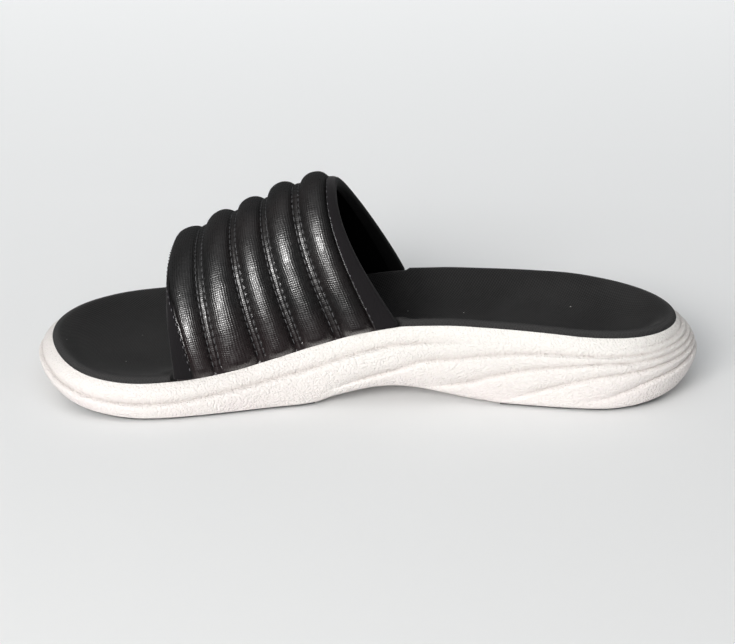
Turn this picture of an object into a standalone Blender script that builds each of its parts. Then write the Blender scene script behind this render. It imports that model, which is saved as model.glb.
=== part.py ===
"""Sport slide sandal for the right foot, as its maker puts it together.

A white moulded foam sole with a sculpted side carries a black cupped insole and two thin
rubber pads. A padded band with five ribs, folded into edge bindings at its front and rear,
is trapped between the insole and the wall of the sole.

Axes: toe towards -X, heel towards +X, the medial side towards -Y, +Z up, in metres.
"""
import math
from collections import namedtuple

import bmesh
import bpy
import numpy as np
from mathutils import Vector

# Footbed: the line where the insole meets the white rim
FOOTBED_LENGTH = 0.2576
BALL_WIDTH = 0.0966
WAIST_HEIGHT = 0.0332        # rim above the floor at the waist, on the centre line
CUP_DEPTH = 0.0100           # insole below the rim line at the waist and the heel
INSOLE_THICKNESS = 0.0045
INSOLE_LIP = 0.0020          # rounded edge of the insole above the rim
INSOLE_LIP_WIDTH = 0.0052
CUP_SLOPE_WIDTH = 0.0150

# Foam sole
SIDE_OUTSET = 0.0044         # how far the side bulges past the rim at the ball
TOE_SPRING = 0.0050
ARCH_RISE = 0.0046
HEEL_SPRING = 0.0030
CREASE_DEPTH = 0.0012

# Rubber pads
OUTSOLE_THICKNESS = 0.0022
PAD_INSET = 0.0012
PAD_EDGE = 0.0006
TREAD_DEPTH = 0.0010
TREAD_PITCH = 0.0095
TREAD_WIDTH = 0.0022
TREAD_DRAFT = 0.0005

# Band
BAND_WALL = 0.0018
RIB_RISES = (0.0025, 0.0036, 0.0038, 0.0040, 0.0046)
INSTEP_HEIGHT = 0.0816       # inner skin of the band above the floor at its rear crest
BAND_FRONT_HEIGHT = 0.0514   # the same at the front edge, which curls down
BAND_SETBACK = 0.0542        # rim's toe tip to the front edge of the band
BAND_MEDIAL_LENGTH = 0.0876
BAND_LATERAL_EXTRA = 0.0038   # how much longer the band's lateral end is
BAND_LATERAL_LENGTH = BAND_MEDIAL_LENGTH + BAND_LATERAL_EXTRA
BAND_CREST_LENGTH = 0.0645
BAND_CREST_SETBACK = -0.0018
BAND_TUCK = 0.0055           # depth of the band's end below the rim
RIB_END = 0.0042             # height over which a rib swells above the rim
VALLEY_WIDTH = 0.0036
BINDING_WALL = 0.0008
BINDING_LIFT = 0.0008        # end of a binding above the rim

CLEARANCE = 0.0003
BAND_PLAY = BINDING_WALL + 2 * CLEARANCE
NOTCH_STEP = 0.0015          # length over which the insole steps in behind the band

# Shape exponents and shares
RIB_CREST_SHARE = 0.80       # a rib's swelling over the crest, against its sides
RIB_ROUND = 2.2
RIB_FULLNESS = 0.75
CREST_SHARE = 0.45           # place of the crest between the medial and lateral ends
ARCH_FULLNESS = 2.2
MEDIAL_SWEEP = 1.4
LATERAL_SWEEP = 1.1
BULGE_HEIGHT = 0.42          # share of the wall's height where the side is widest
BULGE_ROUND = 2.4
TOE_SPRING_START = 0.165     # shares of the footbed's length
TOE_SPRING_POWER = 1.5
ARCH_CENTRE = 0.545
ARCH_HALF_SPAN = 0.150
ARCH_LEAN = 0.36
HEEL_SPRING_START = 0.88
HEEL_SPRING_POWER = 1.6

# Rim line in plan, from the toe tip round the medial side to the heel and back:
# along as a share of the footbed's length, across as a share of the ball width
RimPoint = namedtuple("RimPoint", "along across")
RIM_LINE = [
    RimPoint(0.0000, 0.052), RimPoint(0.0116, -0.114), RimPoint(0.0334, -0.243),
    RimPoint(0.0761, -0.362), RimPoint(0.1420, -0.412), RimPoint(0.2430, -0.383),
    RimPoint(0.3595, -0.310), RimPoint(0.4876, -0.274), RimPoint(0.6234, -0.268),
    RimPoint(0.7477, -0.280), RimPoint(0.8564, -0.297), RimPoint(0.9262, -0.267),
    RimPoint(0.9748, -0.172), RimPoint(1.0000, -0.004), RimPoint(0.9812, 0.172),
    RimPoint(0.9262, 0.312), RimPoint(0.8408, 0.406), RimPoint(0.7283, 0.438),
    RimPoint(0.5846, 0.420), RimPoint(0.4371, 0.481), RimPoint(0.2935, 0.570),
    RimPoint(0.1770, 0.588), RimPoint(0.0839, 0.497), RimPoint(0.0217, 0.300),
]

# Sections along the footbed: rim and lean as shares of WAIST_HEIGHT (lean is how much
# higher the medial side is, at half the ball width), cup as a share of CUP_DEPTH,
# outset and tuck (undercut at the floor) as shares of SIDE_OUTSET
Section = namedtuple("Section", "along rim lean cup outset tuck")
SECTIONS = [
    Section(0.00, 0.572, 0.000, 0.30, 1.30, 0.85),
    Section(0.08, 0.500, 0.000, 0.30, 1.12, 0.48),
    Section(0.15, 0.473, 0.000, 0.30, 1.00, 0.32),
    Section(0.22, 0.488, 0.000, 0.33, 1.00, 0.30),
    Section(0.29, 0.537, 0.006, 0.38, 1.00, 0.30),
    Section(0.36, 0.639, 0.024, 0.52, 0.92, 0.35),
    Section(0.43, 0.777, 0.048, 0.70, 0.80, 0.55),
    Section(0.50, 0.910, 0.069, 0.88, 0.70, 0.75),
    Section(0.57, 0.990, 0.078, 1.00, 0.64, 0.80),
    Section(0.63, 1.000, 0.078, 1.00, 0.66, 0.75),
    Section(0.70, 0.979, 0.063, 1.00, 0.80, 0.45),
    Section(0.78, 0.943, 0.030, 1.00, 1.10, 0.25),
    Section(0.86, 0.907, 0.000, 1.00, 1.50, 0.28),
    Section(0.93, 0.880, 0.000, 1.00, 1.75, 0.55),
    Section(1.00, 0.850, 0.000, 0.92, 2.00, 1.00),
]

# Creases in the side of the sole: girth runs from the toe tip (0) to the heel (1) on
# each side, the rest are shares of the wall's height. A crease that hasn't started yet
# waits, flat, near the floor.
Crease = namedtuple("Crease", "girth first second third fourth fifth")
CREASES = [
    Crease(0.00, 0.48, 0.14, 0.105, 0.070, 0.035),
    Crease(0.14, 0.47, 0.14, 0.105, 0.070, 0.035),
    Crease(0.26, 0.45, 0.14, 0.105, 0.070, 0.035),
    Crease(0.33, 0.55, 0.14, 0.105, 0.070, 0.035),
    Crease(0.40, 0.62, 0.14, 0.105, 0.070, 0.035),
    Crease(0.48, 0.66, 0.16, 0.105, 0.070, 0.035),
    Crease(0.56, 0.71, 0.34, 0.110, 0.070, 0.035),
    Crease(0.65, 0.78, 0.55, 0.16, 0.080, 0.040),
    Crease(0.70, 0.82, 0.66, 0.40, 0.100, 0.045),
    Crease(0.77, 0.86, 0.74, 0.60, 0.22, 0.060),
    Crease(0.84, 0.87, 0.77, 0.67, 0.50, 0.16),
    Crease(0.90, 0.87, 0.78, 0.69, 0.57, 0.38),
    Crease(1.00, 0.89, 0.80, 0.71, 0.62, 0.51),
]
CREASE_STARTS = {"first": -1.0, "second": 0.46, "third": 0.645, "fourth": 0.735, "fifth": 0.83}
CREASE_FADE = 0.06

# Lines across the band, front to rear: base as a share of the band's length at the rim,
# crest as a share of its length at the crest, rise from the front height to the instep
BandLine = namedtuple("BandLine", "base crest rise")
BAND_LINES = {
    "front_edge": BandLine(0.000, 0.005, 0.000),
    "front_seam": BandLine(0.060, 0.026, 0.058),
    "valley_1": BandLine(0.200, 0.172, 0.250),
    "valley_2": BandLine(0.400, 0.380, 0.487),
    "valley_3": BandLine(0.568, 0.575, 0.695),
    "valley_4": BandLine(0.745, 0.770, 0.917),
    "rear_seam": BandLine(0.905, 0.955, 0.996),
    "rear_edge": BandLine(1.000, 1.000, 1.000),
}

# Rubber pads: where each starts and ends, as shares of the footbed's length
Pad = namedtuple("Pad", "name start end")
PADS = [Pad("outsole_forefoot", 0.035, 0.425), Pad("outsole_heel", 0.715, 0.975)]

# Mesh fineness
RIM_SAMPLES = 2400
TOE_COLUMNS = 15
BAND_COLUMNS = 14
HEEL_COLUMNS = 21
ARCH_SAMPLES = 160
ARCH_ROWS = 23
RIB_STEPS = (0.0, 0.12, 0.35, 0.65, 0.88, 1.0)
PAD_END_ROWS = 5

MEDIAL = "medial"
LATERAL = "lateral"
Finish = namedtuple("Finish", "color roughness")
FINISHES = {
    "foam": Finish((0.86, 0.83, 0.80, 1.0), 0.62),
    "rubber": Finish((0.02, 0.02, 0.02, 1.0), 0.70),
    "footbed_cloth": Finish((0.022, 0.022, 0.024, 1.0), 0.85),
    "band_leather": Finish((0.014, 0.014, 0.015, 1.0), 0.42),
    "binding_tape": Finish((0.020, 0.019, 0.026, 1.0), 0.80),
}


def smooth_table(xs, ys):
    """Return a curve through a table that never swings past its rows."""
    xs, ys = np.array(xs, float), np.array(ys, float)
    step = np.diff(xs)
    slope = np.diff(ys) / step
    tangent = np.zeros(len(xs))
    for i in range(1, len(xs) - 1):
        if slope[i - 1] * slope[i] > 0:
            before, after = 2 * step[i] + step[i - 1], step[i] + 2 * step[i - 1]
            tangent[i] = (before + after) / (before / slope[i - 1] + after / slope[i])
    tangent[0], tangent[-1] = slope[0], slope[-1]

    def value(x):
        x = min(max(x, xs[0]), xs[-1])
        i = min(int(np.searchsorted(xs, x, side="right")) - 1, len(xs) - 2)
        t = (x - xs[i]) / step[i]
        start = (1 + 2 * t) * (1 - t) ** 2 * ys[i] + t * (1 - t) ** 2 * step[i] * tangent[i]
        end = t * t * (3 - 2 * t) * ys[i + 1] - t * t * (1 - t) * step[i] * tangent[i + 1]
        return float(start + end)

    return value


def closed_spline(points, count):
    """Sample a closed curve of even curvature through the points."""
    points = np.array(points, float)
    chord = np.linalg.norm(np.roll(points, -1, axis=0) - points, axis=1)
    size = len(points)
    matrix, right = np.zeros((size, size)), np.zeros((size, 2))
    for i in range(size):
        before, after = chord[i - 1], chord[i]
        matrix[i, i - 1] = 1 / before
        matrix[i, i] = 2 / before + 2 / after
        matrix[i, (i + 1) % size] = 1 / after
        to_here = (points[i] - points[i - 1]) / before ** 2
        to_next = (points[(i + 1) % size] - points[i]) / after ** 2
        right[i] = 3 * (to_here + to_next)
    tangent = np.linalg.solve(matrix, right)
    knots = np.concatenate([[0], np.cumsum(chord)])
    samples = []
    for s in np.linspace(0, knots[-1], count, endpoint=False):
        i = min(int(np.searchsorted(knots, s, side="right")) - 1, size - 1)
        t, h, j = (s - knots[i]) / chord[i], chord[i], (i + 1) % size
        start = (1 + 2 * t) * (1 - t) ** 2 * points[i] + t * (1 - t) ** 2 * h * tangent[i]
        end = t * t * (3 - 2 * t) * points[j] - t * t * (1 - t) * h * tangent[j]
        samples.append(start + end)
    return np.array(samples)


class RimLine:
    """The rim in plan, cut at the toe tip and the heel into two sides."""

    def __init__(self):
        points = [(p.along * FOOTBED_LENGTH, p.across * BALL_WIDTH) for p in RIM_LINE]
        line = closed_spline(points, RIM_SAMPLES)
        line = np.roll(line, -int(np.argmin(line[:, 0])), axis=0)
        heel = int(np.argmax(line[:, 0]))
        medial = line[:heel + 1]
        lateral = np.vstack([line[heel:], line[:1]])[::-1]
        self.sides = {MEDIAL: self.measure(medial, 1), LATERAL: self.measure(lateral, -1)}

    @staticmethod
    def measure(line, turn):
        """Return girth shares, points and outward normals along one side."""
        tangent = np.gradient(line, axis=0)
        tangent /= np.linalg.norm(tangent, axis=1)[:, None]
        normal = turn * np.column_stack([tangent[:, 1], -tangent[:, 0]])
        run = np.concatenate([[0], np.cumsum(np.linalg.norm(np.diff(line, axis=0), axis=1))])
        return run / run[-1], line, normal

    def at(self, side, girth):
        """Return x, y and the outward normal at a girth share."""
        shares, line, normal = self.sides[side]
        return [float(np.interp(girth, shares, column))
                for column in (line[:, 0], line[:, 1], normal[:, 0], normal[:, 1])]

    def girth_at(self, side, x):
        """Return the girth share where a side passes x."""
        shares, line, _ = self.sides[side]
        return float(np.interp(x, line[:, 0], shares))

    def ring(self, columns, outset, height):
        """Return a closed ring of points, offset from the rim by outset(side, x, girth)."""
        ring = []
        for side in (MEDIAL, LATERAL):
            run = columns[side]
            run = run[:-1] if side == MEDIAL else run[:0:-1]
            for girth in run:
                x, y, nx, ny = self.at(side, girth)
                away = outset(side, x, girth)
                ring.append(Vector((x + nx * away, y + ny * away, 0)))
                ring[-1].z = height(ring[-1].x, ring[-1].y, x, y, girth)
        return ring


RIM = RimLine()
SECTION_CURVES = {
    name: smooth_table([s.along for s in SECTIONS], [getattr(s, name) for s in SECTIONS])
    for name in Section._fields[1:]
}
CREASE_CURVES = {
    name: smooth_table([c.girth for c in CREASES], [getattr(c, name) for c in CREASES])
    for name in Crease._fields[1:]
}
BAND_CURVES = {
    name: smooth_table([line.base for line in BAND_LINES.values()],
                       [getattr(line, name) for line in BAND_LINES.values()])
    for name in ("crest", "rise")
}


def section(name, x):
    """Return a column of the section table at x."""
    return SECTION_CURVES[name](x / FOOTBED_LENGTH)


def rim_height(x, y):
    """Return the height of the rim's surface over a point of the plan."""
    lean = -y / (BALL_WIDTH / 2) * section("lean", x)
    return WAIST_HEIGHT * (section("rim", x) + lean)


def bed_height(x, y):
    """Return the height of the insole's middle, below the rim by the cup."""
    return rim_height(x, y) - CUP_DEPTH * section("cup", x)


def pocket_height(x, y):
    """Return the height of the pocket's floor in the foam sole."""
    return bed_height(x, y) - INSOLE_THICKNESS - CLEARANCE


def under_height(x, y):
    """Return the height of the foam sole's underside."""
    along = x / FOOTBED_LENGTH
    toe = TOE_SPRING * max(0.0, 1 - along / TOE_SPRING_START) ** TOE_SPRING_POWER
    heel_run = max(0.0, along - HEEL_SPRING_START) / (1 - HEEL_SPRING_START)
    heel = HEEL_SPRING * heel_run ** HEEL_SPRING_POWER
    swing = min(1.0, abs(along - ARCH_CENTRE) / ARCH_HALF_SPAN)
    lean = 1 - ARCH_LEAN * y / (BALL_WIDTH / 2)
    arch = ARCH_RISE * lean * math.cos(math.pi / 2 * swing) ** 2
    return OUTSOLE_THICKNESS + toe + heel + arch


def wall_bulge(x, share):
    """Return how far the side stands past the rim at a share of its height."""
    outset, tuck = section("outset", x) * SIDE_OUTSET, section("tuck", x) * SIDE_OUTSET
    if share >= BULGE_HEIGHT:
        rise = (share - BULGE_HEIGHT) / (1 - BULGE_HEIGHT)
        return outset * (1 - rise ** BULGE_ROUND)
    return outset - tuck * ((BULGE_HEIGHT - share) / BULGE_HEIGHT) ** 2


def crease_cut(name, girth):
    """Return the depth of a crease, faded in where it starts."""
    run = min(1.0, max(0.0, (girth - CREASE_STARTS[name]) / CREASE_FADE))
    return CREASE_DEPTH * run * run * (3 - 2 * run)


def even_steps(start, end, count):
    """Return count steps from start up to, not with, end."""
    return [start + (end - start) * i / count for i in range(count)]


def band_reach(side):
    """Return the x where the band starts and ends along a side's rim."""
    length = BAND_MEDIAL_LENGTH if side == MEDIAL else BAND_LATERAL_LENGTH
    return BAND_SETBACK, BAND_SETBACK + length


def sole_columns():
    """Return girth shares for both sides, with breaks at the band's edges."""
    columns = {}
    for side in (MEDIAL, LATERAL):
        front, rear = band_reach(side)
        breaks = [front - BAND_PLAY - NOTCH_STEP, front - BAND_PLAY,
                  rear + BAND_PLAY, rear + BAND_PLAY + NOTCH_STEP]
        first, second, third, fourth = [RIM.girth_at(side, x) for x in breaks]
        columns[side] = (even_steps(0.0, first, TOE_COLUMNS) + [first]
                         + even_steps(second, third, BAND_COLUMNS) + [third]
                         + even_steps(fourth, 1.0, HEEL_COLUMNS) + [1.0])
    return columns


def add_ring(bm, ring):
    """Add a ring of points to a mesh."""
    return [bm.verts.new(point) for point in ring]


def skin(bm, lower, upper, closed=True):
    """Join two rows of vertices with quads."""
    size = len(lower)
    for i in range(size if closed else size - 1):
        j = (i + 1) % size
        bm.faces.new((lower[i], lower[j], upper[j], upper[i]))


def ladder(bm, ring):
    """Close a ring with rungs from its medial to its lateral side."""
    half = len(ring) // 2
    bm.faces.new((ring[0], ring[1], ring[-1]))
    for i in range(1, half - 1):
        bm.faces.new((ring[i], ring[i + 1], ring[-i - 1], ring[-i]))
    bm.faces.new((ring[half - 1], ring[half], ring[half + 1]))


def finish_object(name, bm, finish, collection, root):
    """Turn a mesh into a named, shaded object with its own material."""
    bmesh.ops.triangulate(bm, faces=bm.faces[:])
    bmesh.ops.recalc_face_normals(bm, faces=bm.faces[:])
    if bm.calc_volume(signed=True) < 0:
        bmesh.ops.reverse_faces(bm, faces=bm.faces[:])
    mesh = bpy.data.meshes.new(name)
    bm.to_mesh(mesh)
    bm.free()
    mesh.shade_smooth()
    mesh.set_sharp_from_angle(angle=math.radians(40))
    material = bpy.data.materials.new(name + "_material")
    material.use_nodes = True
    shader = material.node_tree.nodes["Principled BSDF"]
    shader.inputs["Base Color"].default_value = FINISHES[finish].color
    shader.inputs["Roughness"].default_value = FINISHES[finish].roughness
    mesh.materials.append(material)
    obj = bpy.data.objects.new(name, mesh)
    collection.objects.link(obj)
    obj.parent = root
    return obj


def wall_rows(girth):
    """Return the wall's rows at a girth: height share and crease depth, floor to rim."""
    rows, below = [(0.0, 0.0)], 0.0
    for name in reversed(Crease._fields[1:]):
        height = CREASE_CURVES[name](girth)
        rows.append(((below + height) / 2, 0.0))
        rows.append((height, crease_cut(name, girth)))
        below = height
    rows += [(below + (1 - below) * share, 0.0) for share in (1 / 3, 2 / 3, 1.0)]
    return rows


def build_midsole(collection, root):
    """Loft the side from floor to rim, then the pocket and the underside."""
    columns = sole_columns()
    bm = bmesh.new()
    rings = []
    for row in range(len(wall_rows(0.0))):
        def outset(_side, x, girth, row=row):
            share, cut = wall_rows(girth)[row]
            return wall_bulge(x, share) - cut

        def height(px, py, x, y, girth, row=row):
            low, high = under_height(px, py), rim_height(x, y)
            return low + (high - low) * wall_rows(girth)[row][0]

        rings.append(add_ring(bm, RIM.ring(columns, outset, height)))
    pocket = RIM.ring(columns, lambda *_: 0.0, lambda px, py, x, y, girth: pocket_height(x, y))
    rings.append(add_ring(bm, pocket))
    for lower, upper in zip(rings, rings[1:]):
        skin(bm, lower, upper)
    ladder(bm, rings[0])
    ladder(bm, rings[-1])
    return finish_object("midsole", bm, "foam", collection, root)


def insole_inset(side, x, depth):
    """Return the insole's offset from the rim, narrowed where the band tucks in."""
    front, rear = band_reach(side)
    reach = BAND_PLAY + NOTCH_STEP / 2
    inside = front - reach < x < rear + reach
    room = BAND_WALL + BAND_PLAY if inside else 0.0
    return -(CLEARANCE + room + depth)


def build_insole(collection, root):
    """Loft the cupped footbed: underside, side, rounded lip, slope and bed."""
    columns = sole_columns()
    bm = bmesh.new()
    lip_rows = [(0.0, -0.2), (0.08, 0.45), (0.26, 0.85), (0.55, 1.0)]
    slope_rows = [(0.18, 0.90), (0.50, 0.48), (0.80, 0.12), (1.0, 0.0)]
    rows = [(0.0, lambda x, y: pocket_height(x, y) + CLEARANCE)]
    for inset, rise in lip_rows:
        rows.append((inset * INSOLE_LIP_WIDTH,
                     lambda x, y, rise=rise: rim_height(x, y) + rise * INSOLE_LIP))
    for inset, share in slope_rows:
        def slope(x, y, share=share):
            low, high = bed_height(x, y), rim_height(x, y) + INSOLE_LIP
            return low + (high - low) * share

        rows.append((lip_rows[-1][0] * INSOLE_LIP_WIDTH + inset * CUP_SLOPE_WIDTH, slope))
    rings = []
    for depth, surface in rows:
        def outset(side, x, _girth, depth=depth):
            return insole_inset(side, x, depth)

        def height(px, py, _x, _y, _girth, surface=surface):
            return surface(px, py)

        rings.append(add_ring(bm, RIM.ring(columns, outset, height)))
    for lower, upper in zip(rings, rings[1:]):
        skin(bm, lower, upper)
    ladder(bm, rings[0])
    ladder(bm, rings[-1])
    return finish_object("insole", bm, "footbed_cloth", collection, root)


class Band:
    """The inner skin of the band, as a function of line (front 0, rear 1) and length."""

    def __init__(self):
        self.cache = {}

    def end_point(self, side, line):
        """Return where a line of the band meets the rim, one wall inside it."""
        front, rear = band_reach(side)
        x, y, nx, ny = RIM.at(side, RIM.girth_at(side, front + (rear - front) * line))
        inset = CLEARANCE + BAND_WALL
        return Vector((x - nx * inset, y - ny * inset, rim_height(x, y)))

    def arch(self, line):
        """Return samples across the foot and their running length for one line."""
        key = round(line, 6)
        if key not in self.cache:
            low, high = self.end_point(MEDIAL, line), self.end_point(LATERAL, line)
            share = min(max(line, 0.0), 1.0)
            crest_x = (BAND_SETBACK + BAND_CREST_SETBACK
                       + (BAND_CURVES["crest"](share) + line - share) * BAND_CREST_LENGTH)
            crest_y = low.y + (high.y - low.y) * CREST_SHARE
            climb = BAND_CURVES["rise"](share)
            crest_z = BAND_FRONT_HEIGHT + (INSTEP_HEIGHT - BAND_FRONT_HEIGHT) * climb
            points = []
            for i in range(ARCH_SAMPLES + 1):
                angle = math.pi * i / ARCH_SAMPLES
                end = low if angle < math.pi / 2 else high
                sweep = MEDIAL_SWEEP if angle < math.pi / 2 else LATERAL_SWEEP
                across = abs(math.cos(angle)) ** (2 / ARCH_FULLNESS)
                up = math.sin(angle) ** (2 / ARCH_FULLNESS) if 0 < i < ARCH_SAMPLES else 0.0
                back = (1 - math.sin(angle)) ** sweep
                points.append((crest_x + (end.x - crest_x) * back,
                               crest_y + (end.y - crest_y) * across,
                               end.z + (crest_z - end.z) * up))
            points = np.array(points)
            steps = np.linalg.norm(np.diff(points, axis=0), axis=1)
            self.cache[key] = points, np.concatenate([[0], np.cumsum(steps)])
        return self.cache[key]

    def point(self, line, row):
        """Return a point of the inner skin; row is (end, length from that end, share)."""
        points, run = self.arch(line)
        _, length, share = row
        at = length + (run[-1] - 2 * length) * share
        if at < 0:
            return Vector((points[0][0], points[0][1], points[0][2] + at))
        if at > run[-1]:
            return Vector((points[-1][0], points[-1][1], points[-1][2] + run[-1] - at))
        return Vector([float(np.interp(at, run, points[:, k])) for k in range(3)])

    def frame(self, line, row):
        """Return the skin's point, the direction to the rear and the outward normal."""
        step = 0.004
        here = self.point(line, row)
        rear = self.point(line + step, row) - self.point(line - step, row)
        end, length, share = row
        nudge = 0.004
        along = (self.point(line, (end, length, min(1.0, share + nudge)))
                 - self.point(line, (end, length, max(0.0, share - nudge))))
        if length < 0 and share in (0.0, 1.0):
            along = Vector((0, 0, 1 if share == 0.0 else -1))
        if length == 0 and share in (0.0, 1.0):
            along = Vector((0, 0, 1 if share == 0.0 else -1))
        normal = rear.cross(along).normalized()
        return here, rear.normalized(), normal


def band_rows():
    """Return the band's rows from its medial end, over the foot, to its lateral end."""
    starts = (-BAND_TUCK, 0.0, RIB_END * 0.45, RIB_END)
    rows = [("medial", length, 0.0) for length in starts]
    rows += [("middle", RIB_END, i / ARCH_ROWS) for i in range(1, ARCH_ROWS)]
    rows += [("lateral", length, 1.0) for length in reversed(starts)]
    return rows


def rib_end_share(row):
    """Return a rib's swelling at a row: none at the rim, less again over the crest."""
    end, length, share = row
    if end == "middle":
        return 1 - (1 - RIB_CREST_SHARE) * math.sin(math.pi * share) ** 2
    share = min(1.0, max(0.0, length / RIB_END))
    return math.sin(share * math.pi / 2)


def rib_lines():
    """Return lines across the band with the rise of its ribs on each."""
    seams = [BAND_LINES[name].base for name in
             ("front_seam", "valley_1", "valley_2", "valley_3", "valley_4", "rear_seam")]
    half_valley = VALLEY_WIDTH / 2 / BAND_MEDIAL_LENGTH
    lines = [(0.0, 0.0), (seams[0] / 2, 0.0)]
    for i, (start, end) in enumerate(zip(seams, seams[1:])):
        start += half_valley if i > 0 else 0.0
        end -= half_valley if i < len(seams) - 2 else 0.0
        for step in RIB_STEPS:
            swell = (1 - abs(2 * step - 1) ** RIB_ROUND) ** RIB_FULLNESS
            lines.append((start + (end - start) * step, RIB_RISES[i] * swell))
    return lines + [((seams[-1] + 1) / 2, 0.0), (1.0, 0.0)]


def build_band(band, collection, root):
    """Loft the padded band as one hollow wall, ribs raised on its outer skin."""
    bm = bmesh.new()
    outer, inner = [], []
    for row in band_rows():
        outer_row, inner_row = [], []
        for line, rise in rib_lines():
            here, _, normal = band.frame(line, row)
            wall = BAND_WALL + rise * rib_end_share(row)
            inner_row.append(bm.verts.new(here))
            outer_row.append(bm.verts.new(here + normal * wall))
        outer.append(outer_row)
        inner.append(inner_row)
    for grid in (outer, inner):
        for lower, upper in zip(grid, grid[1:]):
            skin(bm, lower, upper, closed=False)
    for k in (0, -1):
        skin(bm, outer[k], inner[k], closed=False)
        skin(bm, [row[k] for row in outer], [row[k] for row in inner], closed=False)
    return finish_object("upper_band", bm, "band_leather", collection, root)


def binding_section(band, row, front):
    """Return the folded tape's outline at one row, round the band's edge."""
    edge, seam = ("front_edge", "front_seam") if front else ("rear_edge", "rear_seam")
    edge_line, seam_line = BAND_LINES[edge].base, BAND_LINES[seam].base
    here, rear, normal = band.frame(edge_line, row)
    away = -rear if front else rear
    width = (band.point(seam_line, row) - here).length
    play = (edge_line - seam_line) * CLEARANCE / width
    seam_here, _, seam_normal = band.frame(seam_line + play, row)
    middle, _, middle_normal = band.frame((seam_line + edge_line) / 2, row)
    low, high = -CLEARANCE, BAND_WALL + CLEARANCE
    tip = CLEARANCE + BINDING_WALL
    corner = BINDING_WALL * 0.55
    return [
        seam_here + seam_normal * high,
        seam_here + seam_normal * (high + BINDING_WALL),
        middle + middle_normal * (high + BINDING_WALL),
        here + normal * (high + BINDING_WALL) + away * (tip - corner),
        here + normal * (high + BINDING_WALL - corner) + away * tip,
        here + normal * (low - BINDING_WALL + corner) + away * tip,
        here + normal * (low - BINDING_WALL) + away * (tip - corner),
        middle + middle_normal * (low - BINDING_WALL),
        middle + middle_normal * low,
        here + normal * low + away * CLEARANCE,
        here + normal * high + away * CLEARANCE,
        middle + middle_normal * high,
    ]


def build_binding(name, band, front, collection, root):
    """Loft one folded edge tape over the foot, ended just above the rim."""
    rows = [row for row in band_rows() if row[1] >= 0.0]
    sections = [binding_section(band, row, front) for row in rows]
    lift = BINDING_LIFT / rows[1][1]
    for end, inner in ((0, 1), (-1, -2)):
        sections[end] = [low.lerp(high, lift) for low, high in zip(sections[end], sections[inner])]
    bm = bmesh.new()
    rings = [add_ring(bm, ring) for ring in sections]
    for lower, upper in zip(rings, rings[1:]):
        skin(bm, lower, upper)
    outside, inside = (1, 2, 3, 4, 5, 6, 7), (0, 11, 10, 10, 9, 9, 8)
    for ring in (rings[0], rings[-1]):
        for k in range(len(outside) - 1):
            corners = [outside[k], outside[k + 1], inside[k + 1], inside[k]]
            bm.faces.new([ring[i] for i in dict.fromkeys(corners)])
    return finish_object(name, bm, "binding_tape", collection, root)


def pad_rows(start, end):
    """Return the pad's rows along X with the lift of each: 0 on a lug, 1 in a groove."""
    reach = (TREAD_WIDTH / 2 + TREAD_DRAFT)
    rows = []
    grooves = int((end - start - TREAD_PITCH) / TREAD_PITCH)
    first = (start + end) / 2 - (grooves - 1) / 2 * TREAD_PITCH
    for i in range(grooves):
        middle = first + i * TREAD_PITCH
        rows += [(middle - reach, 0.0), (middle - TREAD_WIDTH / 2, 1.0),
                 (middle + TREAD_WIDTH / 2, 1.0), (middle + reach, 0.0)]
    return rows


def pad_edge(side):
    """Return the plan line, inside the floor edge of the foam, that a pad follows."""
    line = []
    for girth in even_steps(0.0, 1.0, 400) + [1.0]:
        x, y, nx, ny = RIM.at(side, girth)
        away = wall_bulge(x, 0.0) - PAD_INSET
        line.append((x + nx * away, y + ny * away))
    return np.array(line)


def build_pad(pad, collection, root):
    """Loft a rubber pad from rows across the foot, with straight tread grooves."""
    edges = {side: pad_edge(side) for side in (MEDIAL, LATERAL)}
    toe_tip, heel_tip = edges[MEDIAL][0][0], edges[MEDIAL][-1][0]
    start = max(pad.start * FOOTBED_LENGTH, toe_tip + PAD_EDGE)
    end = min(pad.end * FOOTBED_LENGTH, heel_tip - PAD_EDGE)
    rows = pad_rows(start, end)
    before, after = rows[0][0], rows[-1][0]
    opening = [(start + (before - start) * (i / PAD_END_ROWS) ** 2, 0.0) for i in range(PAD_END_ROWS)]
    closing = [(end + (after - end) * (i / PAD_END_ROWS) ** 2, 0.0) for i in range(PAD_END_ROWS)]
    bm = bmesh.new()
    rings = []
    for x, lift in opening + rows + closing[::-1]:
        low_y = float(np.interp(x, edges[MEDIAL][:, 0], edges[MEDIAL][:, 1]))
        high_y = float(np.interp(x, edges[LATERAL][:, 0], edges[LATERAL][:, 1]))
        ring = []
        for y, inset, rise in ((low_y, PAD_EDGE, 0), (low_y, 0, PAD_EDGE), (low_y, 0, None),
                               (high_y, 0, None), (high_y, 0, PAD_EDGE), (high_y, -PAD_EDGE, 0)):
            z = under_height(x, y) - CLEARANCE
            if rise is not None:
                z = under_height(x, y) - OUTSOLE_THICKNESS + rise + lift * TREAD_DEPTH
            ring.append(Vector((x, y + inset, z)))
        rings.append(add_ring(bm, ring))
    for lower, upper in zip(rings, rings[1:]):
        skin(bm, lower, upper)
    for ring in (rings[0], rings[-1]):
        bm.faces.new(ring)
    return finish_object(pad.name, bm, "rubber", collection, root)


def centre_on_floor(root, objects):
    """Move the root so that the box of all pieces is centred over the origin."""
    corners = [vert.co for obj in objects for vert in obj.data.vertices]
    low = [min(c[k] for c in corners) for k in range(3)]
    high = [max(c[k] for c in corners) for k in range(3)]
    root.location = (-(low[0] + high[0]) / 2, -(low[1] + high[1]) / 2, -low[2])


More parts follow.
